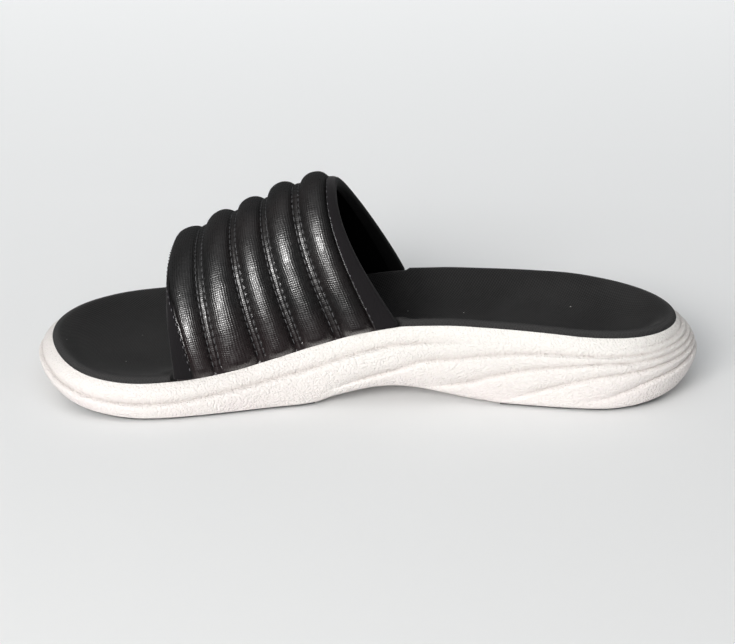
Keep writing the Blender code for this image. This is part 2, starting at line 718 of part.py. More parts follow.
def main():
    """Build the sandal in its own collection."""
    for obj in list(bpy.data.objects):
        bpy.data.objects.remove(obj)
    collection = bpy.data.collections.new("slide_sandal")
    bpy.context.scene.collection.children.link(collection)
    root = bpy.data.objects.new("slide_sandal_root", None)
    collection.objects.link(root)
    band = Band()
    pieces = [build_midsole(collection, root), build_insole(collection, root),
              build_band(band, collection, root)]
    pieces.append(build_binding("front_binding", band, True, collection, root))
    pieces.append(build_binding("rear_binding", band, False, collection, root))
    pieces += [build_pad(pad, collection, root) for pad in PADS]
    centre_on_floor(root, pieces)


main()
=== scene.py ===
"""Sport slide sandal, dressed: foam sole, cupped footbed, ribbed band, bindings and thread.

Each sub-assembly is a class that holds its own sizes in metres, builds its meshes in the
sandal's own place (toe towards -X, medial side towards -Y) and dresses them.
"""

import logging
import math
from dataclasses import dataclass, field
from enum import Enum
from typing import Callable, NamedTuple, Sequence

import bmesh
import bpy
import numpy as np
from mathutils import Matrix, Vector, noise


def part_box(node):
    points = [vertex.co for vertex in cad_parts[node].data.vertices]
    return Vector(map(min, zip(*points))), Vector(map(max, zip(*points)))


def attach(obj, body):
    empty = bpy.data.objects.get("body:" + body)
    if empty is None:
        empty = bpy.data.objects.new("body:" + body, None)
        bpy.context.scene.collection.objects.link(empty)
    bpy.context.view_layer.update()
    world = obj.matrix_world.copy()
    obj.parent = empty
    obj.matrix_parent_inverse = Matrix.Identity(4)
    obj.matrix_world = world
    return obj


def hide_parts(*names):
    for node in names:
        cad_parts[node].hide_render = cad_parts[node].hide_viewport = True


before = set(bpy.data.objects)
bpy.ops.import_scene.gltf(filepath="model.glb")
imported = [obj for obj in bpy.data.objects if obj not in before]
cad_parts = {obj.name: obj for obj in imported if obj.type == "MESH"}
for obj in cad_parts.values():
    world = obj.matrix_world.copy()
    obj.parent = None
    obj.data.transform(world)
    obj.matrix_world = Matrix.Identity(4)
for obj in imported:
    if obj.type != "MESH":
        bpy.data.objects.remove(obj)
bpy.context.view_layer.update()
LOG = logging.getLogger("slide_sandal")

WELD = 2e-6
SHARP_ANGLE = math.radians(42)


class Side(Enum):
    """The two sides of the foot."""

    MEDIAL = "medial"
    LATERAL = "lateral"


class Slot(Enum):
    """Names of the material slots, which this script doesn't use."""

    FOAM = "foam"
    TREAD = "tread_rubber"
    FOOTBED = "footbed_cloth"
    LEATHER = "band_leather"
    TAPE = "binding_tape"


# Shape tools


def hermite(t: np.ndarray, step: np.ndarray, ends: tuple, slopes: tuple) -> np.ndarray:
    """Return a cubic at shares of a step, from its values and slopes at both ends."""
    start = (1 + 2 * t) * (1 - t) ** 2 * ends[0] + t * (1 - t) ** 2 * step * slopes[0]
    return start + t * t * (3 - 2 * t) * ends[1] - t * t * (1 - t) * step * slopes[1]


class SmoothTable:
    """A curve through a table that never swings past its rows."""

    def __init__(self, places: Sequence[float], values: Sequence[float]) -> None:
        """Work out the slope at each row.

        Args:
            places: where the rows are, rising.
            values: the value at each row.
        """
        self.places = np.array(places, float)
        self.values = np.array(values, float)
        self.steps = np.diff(self.places)
        slope = np.diff(self.values) / self.steps
        self.slopes = np.zeros(len(self.places))
        for i in range(1, len(self.places) - 1):
            if slope[i - 1] * slope[i] > 0:
                before = 2 * self.steps[i] + self.steps[i - 1]
                after = self.steps[i] + 2 * self.steps[i - 1]
                self.slopes[i] = (before + after) / (before / slope[i - 1] + after / slope[i])
        self.slopes[0], self.slopes[-1] = slope[0], slope[-1]

    @classmethod
    def of(cls, rows: Sequence[tuple], name: str) -> "SmoothTable":
        """Return the curve of a named column over the rows' first column."""
        return cls([row[0] for row in rows], [getattr(row, name) for row in rows])

    def __call__(self, at: np.ndarray) -> np.ndarray:
        """Return the curve's value at each place."""
        at = np.clip(at, self.places[0], self.places[-1])
        row = np.clip(np.searchsorted(self.places, at, side="right") - 1, 0, len(self.steps) - 1)
        step = self.steps[row]
        t = (at - self.places[row]) / step
        values, slopes = self.values, self.slopes
        return hermite(t, step, (values[row], values[row + 1]), (slopes[row], slopes[row + 1]))


def ease(value: np.ndarray) -> np.ndarray:
    """Return a soft step from 0 to 1."""
    value = np.clip(value, 0.0, 1.0)
    return value * value * (3 - 2 * value)


def between(value: np.ndarray, start: float, end: float, soft: float) -> np.ndarray:
    """Return 1 between two places, falling softly to 0 past them."""
    return ease((value - start + soft) / soft) * ease((end + soft - value) / soft)


def run_along(points: np.ndarray) -> np.ndarray:
    """Return the running length at each point of a line."""
    return np.concatenate([[0], np.cumsum(np.linalg.norm(np.diff(points, axis=0), axis=1))])


def closed_spline(points: Sequence[tuple[float, float]], count: int) -> np.ndarray:
    """Sample a closed curve of even curvature through the points.

    Args:
        points: the corners that the curve passes through.
        count: how many samples are taken.

    Returns:
        An array of samples, one x, y row each.
    """
    knots = np.array(points, float)
    size = len(knots)
    chord = np.linalg.norm(np.roll(knots, -1, axis=0) - knots, axis=1)
    matrix, right = np.zeros((size, size)), np.zeros((size, 2))
    for i in range(size):
        before, after = chord[i - 1], chord[i]
        matrix[i, i - 1], matrix[i, (i + 1) % size] = 1 / before, 1 / after
        matrix[i, i] = 2 / before + 2 / after
        to_here = (knots[i] - knots[i - 1]) / before ** 2
        right[i] = 3 * (to_here + (knots[(i + 1) % size] - knots[i]) / after ** 2)
    slopes = np.linalg.solve(matrix, right)
    run = np.concatenate([[0], np.cumsum(chord)])
    at = np.linspace(0, run[-1], count, endpoint=False)
    i = np.clip(np.searchsorted(run, at, side="right") - 1, 0, size - 1)
    j = (i + 1) % size
    t = ((at - run[i]) / chord[i])[:, None]
    return hermite(t, chord[i][:, None], (knots[i], knots[j]), (slopes[i], slopes[j]))


def add_sheet(bm: bmesh.types.BMesh, points: np.ndarray, uv: np.ndarray | None = None) -> None:
    """Lay a grid over a table of points.

    Args:
        bm: the mesh that the grid is added to.
        points: rows by columns by xyz.
        uv: rows by columns by two, in metres over the surface, or nothing.
    """
    rows, columns = points.shape[:2]
    made = bmesh.ops.create_grid(bm, x_segments=columns - 1, y_segments=rows - 1, size=1.0)
    places = {}
    for vert in made["verts"]:
        i = round((vert.co.x + 1) / 2 * (columns - 1))
        j = round((vert.co.y + 1) / 2 * (rows - 1))
        places[vert] = (j, i)
        vert.co = points[j, i]
    if uv is not None:
        layer = bm.loops.layers.uv.verify()
        for face in {face for vert in made["verts"] for face in vert.link_faces}:
            for loop in face.loops:
                loop[layer].uv = uv[places[loop.vert]]


def weld(bm: bmesh.types.BMesh) -> None:
    """Merge the sheets' shared edges and turn every face outwards."""
    bmesh.ops.remove_doubles(bm, verts=bm.verts[:], dist=WELD)
    bmesh.ops.recalc_face_normals(bm, faces=bm.faces[:])
    if bm.calc_volume(signed=True) < 0:
        bmesh.ops.reverse_faces(bm, faces=bm.faces[:])


def walled_sheet(outer: np.ndarray, inner: np.ndarray, uv: np.ndarray | None = None) -> bmesh.types.BMesh:
    """Make a closed wall between two tables of points of one shape.

    Args:
        outer: rows by columns by xyz of the outer skin.
        inner: the same for the inner skin.
        uv: surface coordinates for both skins, or nothing.

    Returns:
        The welded mesh.
    """
    bm = bmesh.new()
    add_sheet(bm, outer, uv)
    add_sheet(bm, inner, uv)
    for edge in (np.s_[0], np.s_[:, 0], np.s_[-1], np.s_[:, -1]):
        add_sheet(bm, np.stack([outer[edge], inner[edge]]), None if uv is None else np.stack([uv[edge]] * 2))
    weld(bm)
    return bm


def mark(bm: bmesh.types.BMesh, name: str, points: np.ndarray, values: np.ndarray) -> None:
    """Write a value at the points of a welded mesh, for its finish to read.

    Args:
        bm: the mesh.
        name: the value's name.
        points: a table of points of the mesh.
        values: 0 to 1 at each of them; the mesh's other points get 0.
    """
    known = {tuple(np.round(p, 5)): float(v) for p, v in zip(points.reshape(-1, 3), values.reshape(-1))}
    layer = bm.verts.layers.float.new(name)
    for vert in bm.verts:
        vert[layer] = known.get(tuple(np.round(np.array(vert.co), 5)), 0.0)


def place(name: str, data: bpy.types.ID) -> bpy.types.Object:
    """Put a new object in the scene, at the origin, and return it."""
    made = bpy.data.objects.new(name, data)
    bpy.context.scene.collection.objects.link(made)
    return made


def finish_piece(name: str, bm: bmesh.types.BMesh, material: bpy.types.Material,
                 replaced: Sequence[str] = ()) -> bpy.types.Object:
    """Turn a mesh into a dressed piece that rides on the sandal.

    Args:
        name: the piece's name.
        bm: its mesh in the last's own plan, moved to the frame and freed here.
        material: its finish.
        replaced: the CAD nodes that it stands for.

    Returns:
        The piece's object.
    """
    bmesh.ops.translate(bm, verts=bm.verts[:], vec=FRAME_SHIFT)
    mesh = bpy.data.meshes.new(name)
    bm.to_mesh(mesh)
    bm.free()
    mesh.shade_smooth()
    mesh.set_sharp_from_angle(angle=SHARP_ANGLE)
    mesh.materials.append(material)
    piece = place(name, mesh)
    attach(piece, "root")
    if replaced:
        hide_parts(*replaced)
    LOG.info("%s: %d faces", name, len(mesh.polygons))
    return piece


# The last: the plan and heights that every piece follows


class RimPoint(NamedTuple):
    """A point of the rim: share of the footbed's length, share of the ball width."""

    along: float
    across: float


class Section(NamedTuple):
    """A station along the footbed, by its share of the length.

    rim and lean are shares of the waist height, cup is a share of the cup's depth, and
    outset and tuck are shares of the side's outset.
    """

    along: float
    rim: float
    lean: float
    cup: float
    outset: float
    tuck: float


RIM_LINE = (
    RimPoint(0.0000, 0.052), RimPoint(0.0116, -0.114), RimPoint(0.0334, -0.243),
    RimPoint(0.0761, -0.362), RimPoint(0.1420, -0.412), RimPoint(0.2430, -0.383),
    RimPoint(0.3595, -0.310), RimPoint(0.4876, -0.274), RimPoint(0.6234, -0.268),
    RimPoint(0.7477, -0.280), RimPoint(0.8564, -0.297), RimPoint(0.9262, -0.267),
    RimPoint(0.9748, -0.172), RimPoint(1.0000, -0.004), RimPoint(0.9812, 0.172),
    RimPoint(0.9262, 0.312), RimPoint(0.8408, 0.406), RimPoint(0.7283, 0.438),
    RimPoint(0.5846, 0.420), RimPoint(0.4371, 0.481), RimPoint(0.2935, 0.570),
    RimPoint(0.1770, 0.588), RimPoint(0.0839, 0.497), RimPoint(0.0217, 0.300),
)
SECTIONS = (
    Section(0.00, 0.572, 0.000, 0.30, 1.30, 0.85),
    Section(0.08, 0.500, -0.012, 0.30, 1.12, 0.48),
    Section(0.15, 0.475, -0.022, 0.30, 1.00, 0.32),
    Section(0.22, 0.490, -0.022, 0.33, 1.00, 0.30),
    Section(0.29, 0.539, -0.014, 0.38, 1.00, 0.30),
    Section(0.36, 0.641, 0.008, 0.52, 0.92, 0.35),
    Section(0.43, 0.782, 0.028, 0.70, 0.80, 0.55),
    Section(0.50, 0.915, 0.046, 0.88, 0.70, 0.75),
    Section(0.57, 0.998, 0.046, 1.00, 0.64, 0.80),
    Section(0.63, 1.006, 0.046, 1.00, 0.66, 0.75),
    Section(0.70, 0.979, 0.044, 1.00, 0.80, 0.45),
    Section(0.78, 0.943, 0.030, 1.00, 1.10, 0.25),
    Section(0.86, 0.907, 0.000, 1.00, 1.50, 0.28),
    Section(0.93, 0.880, 0.000, 1.00, 1.75, 0.55),
    Section(1.00, 0.850, 0.000, 0.92, 2.00, 1.00),
)


@dataclass
class Loop:
    """One turn round the rim: girth share, plan point and outward normal per column."""

    side: np.ndarray
    girth: np.ndarray
    x: np.ndarray
    y: np.ndarray
    nx: np.ndarray
    ny: np.ndarray

    def out(self, away: np.ndarray) -> tuple[np.ndarray, np.ndarray]:
        """Return the plan's x and y at distances out from the rim."""
        return self.x + self.nx * away, self.y + self.ny * away


@dataclass
class Last:
    """The plan and heights of the footbed, the rim and the underside."""

    length: float = 0.2576
    ball_width: float = 0.0966
    waist_height: float = 0.0332
    cup_depth: float = 0.0100
    insole_thickness: float = 0.0045
    side_outset: float = 0.0044
    outsole_thickness: float = 0.0022
    toe_spring: float = 0.0050
    toe_spring_start: float = 0.165
    toe_spring_power: float = 1.5
    heel_spring: float = 0.0030
    heel_spring_start: float = 0.88
    heel_spring_power: float = 1.6
    arch_rise: float = 0.0046
    arch_centre: float = 0.545
    arch_half_span: float = 0.150
    arch_lean: float = 0.36
    bulge_height: float = 0.42
    bulge_round: float = 2.4
    clearance: float = 0.0003
    rim_samples: int = 6000
    sides: dict = field(default_factory=dict)
    curves: dict = field(default_factory=dict)

    def __post_init__(self) -> None:
        """Cut the rim line at the toe tip and the heel, and read the sections."""
        points = [(p.along * self.length, p.across * self.ball_width) for p in RIM_LINE]
        line = closed_spline(points, self.rim_samples)
        line = np.roll(line, -int(np.argmin(line[:, 0])), axis=0)
        heel = int(np.argmax(line[:, 0]))
        lateral = np.vstack([line[heel:], line[:1]])[::-1]
        self.sides = {Side.MEDIAL: self.measure(line[:heel + 1], 1), Side.LATERAL: self.measure(lateral, -1)}
        self.curves = {name: SmoothTable.of(SECTIONS, name) for name in Section._fields[1:]}

    @staticmethod
    def measure(line: np.ndarray, turn: int) -> tuple[np.ndarray, np.ndarray, np.ndarray]:
        """Return girth shares, points and outward normals along one side."""
        tangent = np.gradient(line, axis=0)
        tangent /= np.linalg.norm(tangent, axis=1)[:, None]
        normal = turn * np.column_stack([tangent[:, 1], -tangent[:, 0]])
        run = run_along(line)
        return run / run[-1], line, normal

    def at(self, side: Side, girth: np.ndarray) -> tuple[np.ndarray, ...]:
        """Return x, y and the outward normal at girth shares of one side."""
        shares, line, normal = self.sides[side]
        return tuple(np.interp(girth, shares, column)
                     for column in (line[:, 0], line[:, 1], normal[:, 0], normal[:, 1]))

    def girth_at(self, side: Side, x: np.ndarray) -> np.ndarray:
        """Return the girth share where a side passes x."""
        shares, line, _ = self.sides[side]
        return np.interp(x, line[:, 0], shares)

    def loop(self, columns: int) -> Loop:
        """Return one turn: the medial side to the heel, then the lateral side back."""
        girth = np.linspace(0, 1, columns + 1)
        medial, lateral = self.at(Side.MEDIAL, girth), self.at(Side.LATERAL, girth[::-1])
        parts = [np.concatenate([m, l[1:]]) for m, l in zip(medial, lateral)]
        side = np.concatenate([np.zeros(columns + 1), np.ones(columns)])
        return Loop(side, np.concatenate([girth, girth[::-1][1:]]), *parts)

    def section(self, name: str, x: np.ndarray) -> np.ndarray:
        """Return a column of the section table at x."""
        return self.curves[name](x / self.length)

    def rim(self, x: np.ndarray, y: np.ndarray) -> np.ndarray:
        """Return the height of the rim's surface over the plan."""
        lean = -y / (self.ball_width / 2) * self.section("lean", x)
        return self.waist_height * (self.section("rim", x) + lean)

    def bed(self, x: np.ndarray, y: np.ndarray) -> np.ndarray:
        """Return the height of the insole's middle."""
        return self.rim(x, y) - self.cup_depth * self.section("cup", x)

    def pocket(self, x: np.ndarray, y: np.ndarray) -> np.ndarray:
        """Return the height of the pocket's floor in the foam."""
        return self.bed(x, y) - self.insole_thickness - self.clearance

    def under(self, x: np.ndarray, y: np.ndarray) -> np.ndarray:
        """Return the height of the foam's underside."""
        along = x / self.length
        toe_run = np.clip(1 - along / self.toe_spring_start, 0, None)
        heel_run = np.clip((along - self.heel_spring_start) / (1 - self.heel_spring_start), 0, None)
        swing = np.clip(np.abs(along - self.arch_centre) / self.arch_half_span, 0, 1)
        lean = 1 - self.arch_lean * y / (self.ball_width / 2)
        arch = self.arch_rise * lean * np.cos(math.pi / 2 * swing) ** 2
        toe = self.toe_spring * toe_run ** self.toe_spring_power
        return self.outsole_thickness + toe + self.heel_spring * heel_run ** self.heel_spring_power + arch

    def bulge(self, x: np.ndarray, share: np.ndarray) -> np.ndarray:
        """Return how far the side stands past the rim at shares of its height."""
        outset = self.section("outset", x) * self.side_outset
        tuck = self.section("tuck", x) * self.side_outset
        rise = np.clip((share - self.bulge_height) / (1 - self.bulge_height), 0, 1)
        drop = np.clip((self.bulge_height - share) / self.bulge_height, 0, 1)
        return outset * (1 - rise ** self.bulge_round) - tuck * drop ** 2


def cap(columns: int, ring: np.ndarray, rows: int,
        height: Callable[[np.ndarray, np.ndarray], np.ndarray]) -> np.ndarray:
    """Return a table of points that closes a ring from its medial to its lateral side.

    Args:
        columns: columns of the ring on one side.
        ring: the ring's points, first repeated as last.
        rows: steps across.
        height: height of the closing surface over the plan.

    Returns:
        Points, rows by columns by xyz.
    """
    medial, lateral = ring[:columns + 1], ring[columns:][::-1]
    share = np.linspace(0, 1, rows + 1)[:, None, None]
    points = medial[None] * (1 - share) + lateral[None] * share
    inside = points[1:-1]
    inside[..., 2] = height(inside[..., 0], inside[..., 1])
    points[:, 0], points[:, -1] = medial[0], medial[-1]
    return points


# Shader tools


class Graph:
    """A node tree with short calls for the nodes that the finishes use."""

    def __init__(self, tree: bpy.types.NodeTree) -> None:
        """Keep the tree."""
        self.tree = tree

    def fill(self, node: bpy.types.Node, inputs: dict) -> None:
        """Set a node's inputs, by name or number, to values, or link them to sockets."""
        for name, value in inputs.items():
            if isinstance(value, bpy.types.NodeSocket):
                self.tree.links.new(value, node.inputs[name])
            else:
                node.inputs[name].default_value = value

    def node(self, kind: str, inputs: dict | None = None, **settings: object) -> bpy.types.Node:
        """Add a node.

        Args:
            kind: the node's type name.
            inputs: values or sockets by input name or number.
            **settings: the node's own settings.

        Returns:
            The node.
        """
        made = self.tree.nodes.new(kind)
        for name, value in settings.items():
            setattr(made, name, value)
        self.fill(made, inputs or {})
        return made

    def group(self, tree: bpy.types.NodeTree, inputs: dict) -> "bpy.types.NodeOutputs":
        """Place a shared node group and return its outputs."""
        return self.node("ShaderNodeGroup", inputs, node_tree=tree).outputs

    def math(self, operation: str, *values: object) -> bpy.types.NodeSocket:
        """Return the result of an operation on values or sockets."""
        return self.node("ShaderNodeMath", dict(enumerate(values)), operation=operation).outputs[0]

    def apart(self, vector: object) -> "bpy.types.NodeOutputs":
        """Return the x, y and z of a vector."""
        return self.node("ShaderNodeSeparateXYZ", {0: vector}).outputs

    def attribute(self, name: str) -> bpy.types.NodeSocket:
        """Return a value that mark() wrote, or 0 on a mesh without it."""
        return self.node("ShaderNodeAttribute", attribute_name=name).outputs["Fac"]

    def mix(self, share: object, first: object, second: object) -> bpy.types.NodeSocket:
        """Return a blend of two colours."""
        return self.node("ShaderNodeMix", {0: share, 6: first, 7: second}, data_type="RGBA").outputs[2]

    def ramp(self, value: object, low: float, high: float, to_low: float = 0.0,
             to_high: float = 1.0) -> bpy.types.NodeSocket:
        """Return a value mapped from one range to another, held at its ends."""
        return self.node("ShaderNodeMapRange", {0: value, 1: low, 2: high, 3: to_low, 4: to_high},
                         clamp=True).outputs[0]

    def noise(self, vector: object, scale: float, detail: float = 3.0) -> bpy.types.NodeSocket:
        """Return soft noise, about 0.5 in its middle."""
        return self.node("ShaderNodeTexNoise", {"Vector": vector, "Scale": scale, "Detail": detail,
                                                "Roughness": 0.55}).outputs[0]

    def cells(self, vector: object, scale: object, **settings: object) -> bpy.types.Node:
        """Return a cell texture."""
        return self.node("ShaderNodeTexVoronoi", {"Vector": vector, "Scale": scale}, **settings)

    def bump(self, height: object, distance: float, strength: float = 1.0,
             normal: object | None = None) -> bpy.types.NodeSocket:
        """Return a normal bent by a height."""
        inputs = {"Height": height, "Distance": distance, "Strength": strength}
        if normal is not None:
            inputs["Normal"] = normal
        return self.node("ShaderNodeBump", inputs).outputs[0]


def new_group(name: str, inputs: dict[str, float | None], outputs: Sequence[str]) -> Graph:
    """Make a node group that has its sockets and no nodes.

    Args:
        name: the group's name.
        inputs: each input's default, or None for a vector.
        outputs: names of its value outputs.

    Returns:
        The group's graph.
    """
    group = bpy.data.node_groups.new(name, "ShaderNodeTree")
    for socket, default in inputs.items():
        kind = "NodeSocketVector" if default is None else "NodeSocketFloat"
        made = group.interface.new_socket(name=socket, in_out="INPUT", socket_type=kind)
        if default is not None:
            made.default_value = default
    for socket in outputs:
        group.interface.new_socket(name=socket, in_out="OUTPUT", socket_type="NodeSocketFloat")
    return Graph(group)


def grain_group() -> bpy.types.NodeTree:
    """Return the pebble grain: rounded cells of uneven size with soft valleys."""
    graph = new_group("pebble_grain", {"Vector": None, "Scale": 1000.0}, ["Height", "Valley"])
    source = graph.node("NodeGroupInput").outputs
    warp = graph.node("ShaderNodeTexNoise", {"Vector": source["Vector"], "Scale": 420.0, "Detail": 1.0})
    sway = graph.node("ShaderNodeVectorMath", {0: warp.outputs[1], 1: (0.0005, 0.0005, 0.0005)},
                      operation="MULTIPLY").outputs[0]
    vector = graph.node("ShaderNodeVectorMath", {0: source["Vector"], 1: sway}, operation="ADD").outputs[0]
    domes = graph.cells(vector, source["Scale"], feature="SMOOTH_F1")
    graph.fill(domes, {"Smoothness": 0.7})
    away = domes.outputs["Distance"]
    pebble = graph.ramp(graph.math("MULTIPLY", away, away), 0.0, 0.45, 1.0, 0.0)
    height = graph.math("MULTIPLY_ADD", graph.noise(vector, 2600.0, 2.0), 0.12, pebble)
    graph.node("NodeGroupOutput", {"Height": height, "Valley": graph.math("SUBTRACT", 1.0, pebble)})
    return graph.tree


def specks_group() -> bpy.types.NodeTree:
    """Return sparse lint and dust specks as a mask."""
    graph = new_group("dust_specks", {"Vector": None, "Scale": 150.0, "Size": 0.04}, ["Mask"])
    source = graph.node("NodeGroupInput").outputs
    cells = graph.cells(source["Vector"], source["Scale"])
    rare = graph.math("GREATER_THAN", cells.outputs["Color"], 0.72)
    near = graph.math("LESS_THAN", cells.outputs["Distance"], source["Size"])
    graph.node("NodeGroupOutput", {"Mask": graph.math("MULTIPLY", rare, near)})
    return graph.tree


def threads_group() -> bpy.types.NodeTree:
    """Return two crossed sets of threads on a flat pair of coordinates."""
    graph = new_group("crossed_threads", {"Across": 0.0, "Along": 0.0, "Pitch": 0.0008, "Balance": 0.5},
                      ["Height"])
    source = graph.node("NodeGroupInput").outputs
    waves = []
    for name in ("Across", "Along"):
        turns = graph.math("DIVIDE", source[name], source["Pitch"])
        wave = graph.math("SINE", graph.math("MULTIPLY", turns, math.tau))
        waves.append(graph.ramp(wave, -1.0, 0.6))
    first = graph.math("MULTIPLY", waves[0], source["Balance"])
    second = graph.math("MULTIPLY", waves[1], graph.math("SUBTRACT", 1.0, source["Balance"]))
    graph.node("NodeGroupOutput", {"Height": graph.math("ADD", first, second)})
    return graph.tree


@dataclass
class Groups:
    """The shared node groups."""

    grain: bpy.types.NodeTree = field(default_factory=grain_group)
    specks: bpy.types.NodeTree = field(default_factory=specks_group)
    threads: bpy.types.NodeTree = field(default_factory=threads_group)


def start_material(name: str) -> tuple[bpy.types.Material, Graph, bpy.types.Node, "bpy.types.NodeOutputs"]:
    """Return a new material with its graph, its shader and the texture coordinates."""
    material = bpy.data.materials.new(name)
    material.use_nodes = True
    graph = Graph(material.node_tree)
    shader = material.node_tree.nodes["Principled BSDF"]
    return material, graph, shader, graph.node("ShaderNodeTexCoord").outputs


@dataclass(frozen=True)
class FoamFinish:
    """White moulded foam with a fine pebble grain, warmer near the floor, and darker in its creases and
    grain valleys: painted shade, with a little dirt tint in the creases.
    """

    colour: tuple = (0.75, 0.728, 0.70, 1.0)
    low_colour: tuple = (0.735, 0.68, 0.667, 1.0)
    hollow_colour: tuple = (0.56, 0.515, 0.49, 1.0)
    low_from: float = 0.028
    low_to: float = 0.006
    hollow_share: float = 0.85
    valley_share: float = 0.10
    roughness: float = 0.72
    gloss: float = 0.10
    grain_scale: float = 1150.0
    grain_depth: float = 0.00032
    wave_scale: float = 260.0
    wave_depth: float = 0.00022

    def material(self, groups: Groups) -> bpy.types.Material:
        """Return the foam's material."""
        material, graph, shader, coords = start_material("foam_finish")
        vector = coords["Object"]
        low = graph.ramp(graph.apart(vector)[2], self.low_from, self.low_to)
        patch = graph.ramp(graph.noise(vector, 55.0), 0.35, 0.7, 0.4, 1.0)
        colour = graph.mix(graph.math("MULTIPLY", low, patch), self.colour, self.low_colour)
        # Darker in the side's creases: painted shade, with a little dirt tint.
        hollow = graph.math("MULTIPLY", graph.attribute("hollow"), self.hollow_share)
        colour = graph.mix(hollow, colour, self.hollow_colour)
        grain = graph.group(groups.grain, {"Vector": vector, "Scale": self.grain_scale})
        # The grain's valleys are darkened towards the shade colour: painted shade.
        valley_shade = graph.math("MULTIPLY", grain["Valley"], self.valley_share)
        uneven = graph.noise(vector, 120.0)
        waves = graph.bump(graph.noise(vector, self.wave_scale, 2.0), self.wave_depth, 0.6)
        graph.fill(shader, {
            "Base Color": graph.mix(valley_shade, colour, self.hollow_colour),
            "Roughness": graph.ramp(uneven, 0.3, 0.7, self.roughness - 0.05, self.roughness + 0.08),
            "Specular IOR Level": self.gloss,
            "Normal": graph.bump(grain["Height"], self.grain_depth, 0.9, waves)})
        return material


@dataclass(frozen=True)
class LeatherFinish:
    """Black synthetic leather, satin, with a fine crossed emboss."""

    colour: tuple = (0.0050, 0.0049, 0.0050, 1.0)
    worn_colour: tuple = (0.011, 0.0080, 0.0080, 1.0)
    low_colour: tuple = (0.013, 0.0075, 0.0080, 1.0)
    low_from: float = 0.046
    low_to: float = 0.026
    roughness: float = 0.27
    gloss: float = 0.6
    pitch: float = 0.00100
    cross_pitch: float = 0.00080
    balance: float = 0.6
    sway: float = 0.0011
    emboss: float = 0.00013
    pore_scale: float = 2900.0
    pore_share: float = 0.12

    def material(self, groups: Groups) -> bpy.types.Material:
        """Return the leather's material."""
        material, graph, shader, coords = start_material("leather_finish")
        vector, flat = coords["Object"], graph.apart(coords["UV"])
        drift = graph.math("SUBTRACT", graph.noise(vector, 160.0, 2.0), 0.5)
        drift = graph.math("MULTIPLY", drift, self.sway)
        cross = graph.math("MULTIPLY", flat[0], self.pitch / self.cross_pitch)
        threads = graph.group(groups.threads, {
            "Across": graph.math("ADD", flat[1], drift), "Along": graph.math("ADD", cross, drift),
            "Pitch": self.pitch, "Balance": self.balance})["Height"]
        patch = graph.ramp(graph.noise(vector, 210.0), 0.38, 0.66, 0.35, 1.0)
        pores = graph.cells(vector, self.pore_scale).outputs["Distance"]
        height = graph.math("MULTIPLY_ADD", pores, self.pore_share, graph.math("MULTIPLY", threads, patch))
        worn = graph.ramp(graph.noise(vector, 35.0, 4.0), 0.45, 0.75)
        low = graph.ramp(graph.apart(vector)[2], self.low_from, self.low_to)
        rough = graph.ramp(graph.noise(vector, 620.0), 0.3, 0.7, -0.04, 0.10)
        grooved = graph.ramp(threads, 0.9, 0.2, self.roughness, self.roughness + 0.22)
        soft = graph.bump(graph.noise(vector, 900.0, 2.0), 0.00008, 0.5)
        graph.fill(shader, {
            "Base Color": graph.mix(low, graph.mix(worn, self.colour, self.worn_colour), self.low_colour),
            "Roughness": graph.math("ADD", rough, grooved),
            "Specular IOR Level": self.gloss,
            "Normal": graph.bump(height, self.emboss, 1.0, soft)})
        return material


@dataclass(frozen=True)
class ClothFinish:
    """A matte woven or napped cloth."""

    name: str
    colour: tuple
    light_colour: tuple
    hollow_colour: tuple = (0.0015, 0.0015, 0.0016, 1.0)
    rubbed_colour: tuple = (0.045, 0.044, 0.044, 1.0)
    speck_colour: tuple = (0.35, 0.34, 0.33, 1.0)
    speck_size: float = 0.0
    roughness: float = 0.85
    pitch: float = 0.0009
    depth: float = 0.00010
    turn: float = 0.6
    balance: float = 0.75
    nap: float = 0.00006
    sheen: float = 0.15
    gloss: float = 0.3

    def material(self, groups: Groups) -> bpy.types.Material:
        """Return the cloth's material."""
        material, graph, shader, coords = start_material(self.name)
        vector = coords["Object"]
        flat = graph.apart(graph.node("ShaderNodeMapping", {0: vector, 2: (0.0, 0.0, self.turn)}).outputs[0])
        threads = graph.group(groups.threads, {"Across": flat[0], "Along": flat[1], "Pitch": self.pitch,
                                               "Balance": self.balance})["Height"]
        fuzz = graph.noise(vector, 2400.0)
        shade = graph.math("MULTIPLY", threads, graph.ramp(fuzz, 0.3, 0.7, 0.5, 1.0))
        colour = graph.mix(shade, self.colour, self.light_colour)
        faded = graph.ramp(graph.noise(vector, 30.0, 4.0), 0.5, 0.8, 0.0, 0.5)
        colour = graph.mix(faded, colour, self.light_colour)
        if self.speck_size:
            specks = graph.group(groups.specks, {"Vector": vector, "Size": self.speck_size})
            colour = graph.mix(specks["Mask"], colour, self.speck_colour)
        # Nearly black where the mesh is marked: painted shade.
        colour = graph.mix(graph.attribute("hollow"), colour, self.hollow_colour)
        # Lighter where the footbed's lip is marked: painted highlight.
        rubbed = graph.math("MULTIPLY", graph.attribute("rubbed"), graph.ramp(fuzz, 0.3, 0.7, 0.4, 1.0))
        graph.fill(shader, {
            "Base Color": graph.mix(rubbed, colour, self.rubbed_colour),
            "Roughness": graph.ramp(fuzz, 0.3, 0.7, self.roughness - 0.08, self.roughness + 0.08),
            "Sheen Weight": self.sheen,
            "Sheen Roughness": 0.5,
            "Specular IOR Level": self.gloss,
            "Normal": graph.bump(threads, self.depth, 0.8, graph.bump(fuzz, self.nap, 0.8))})
        return material


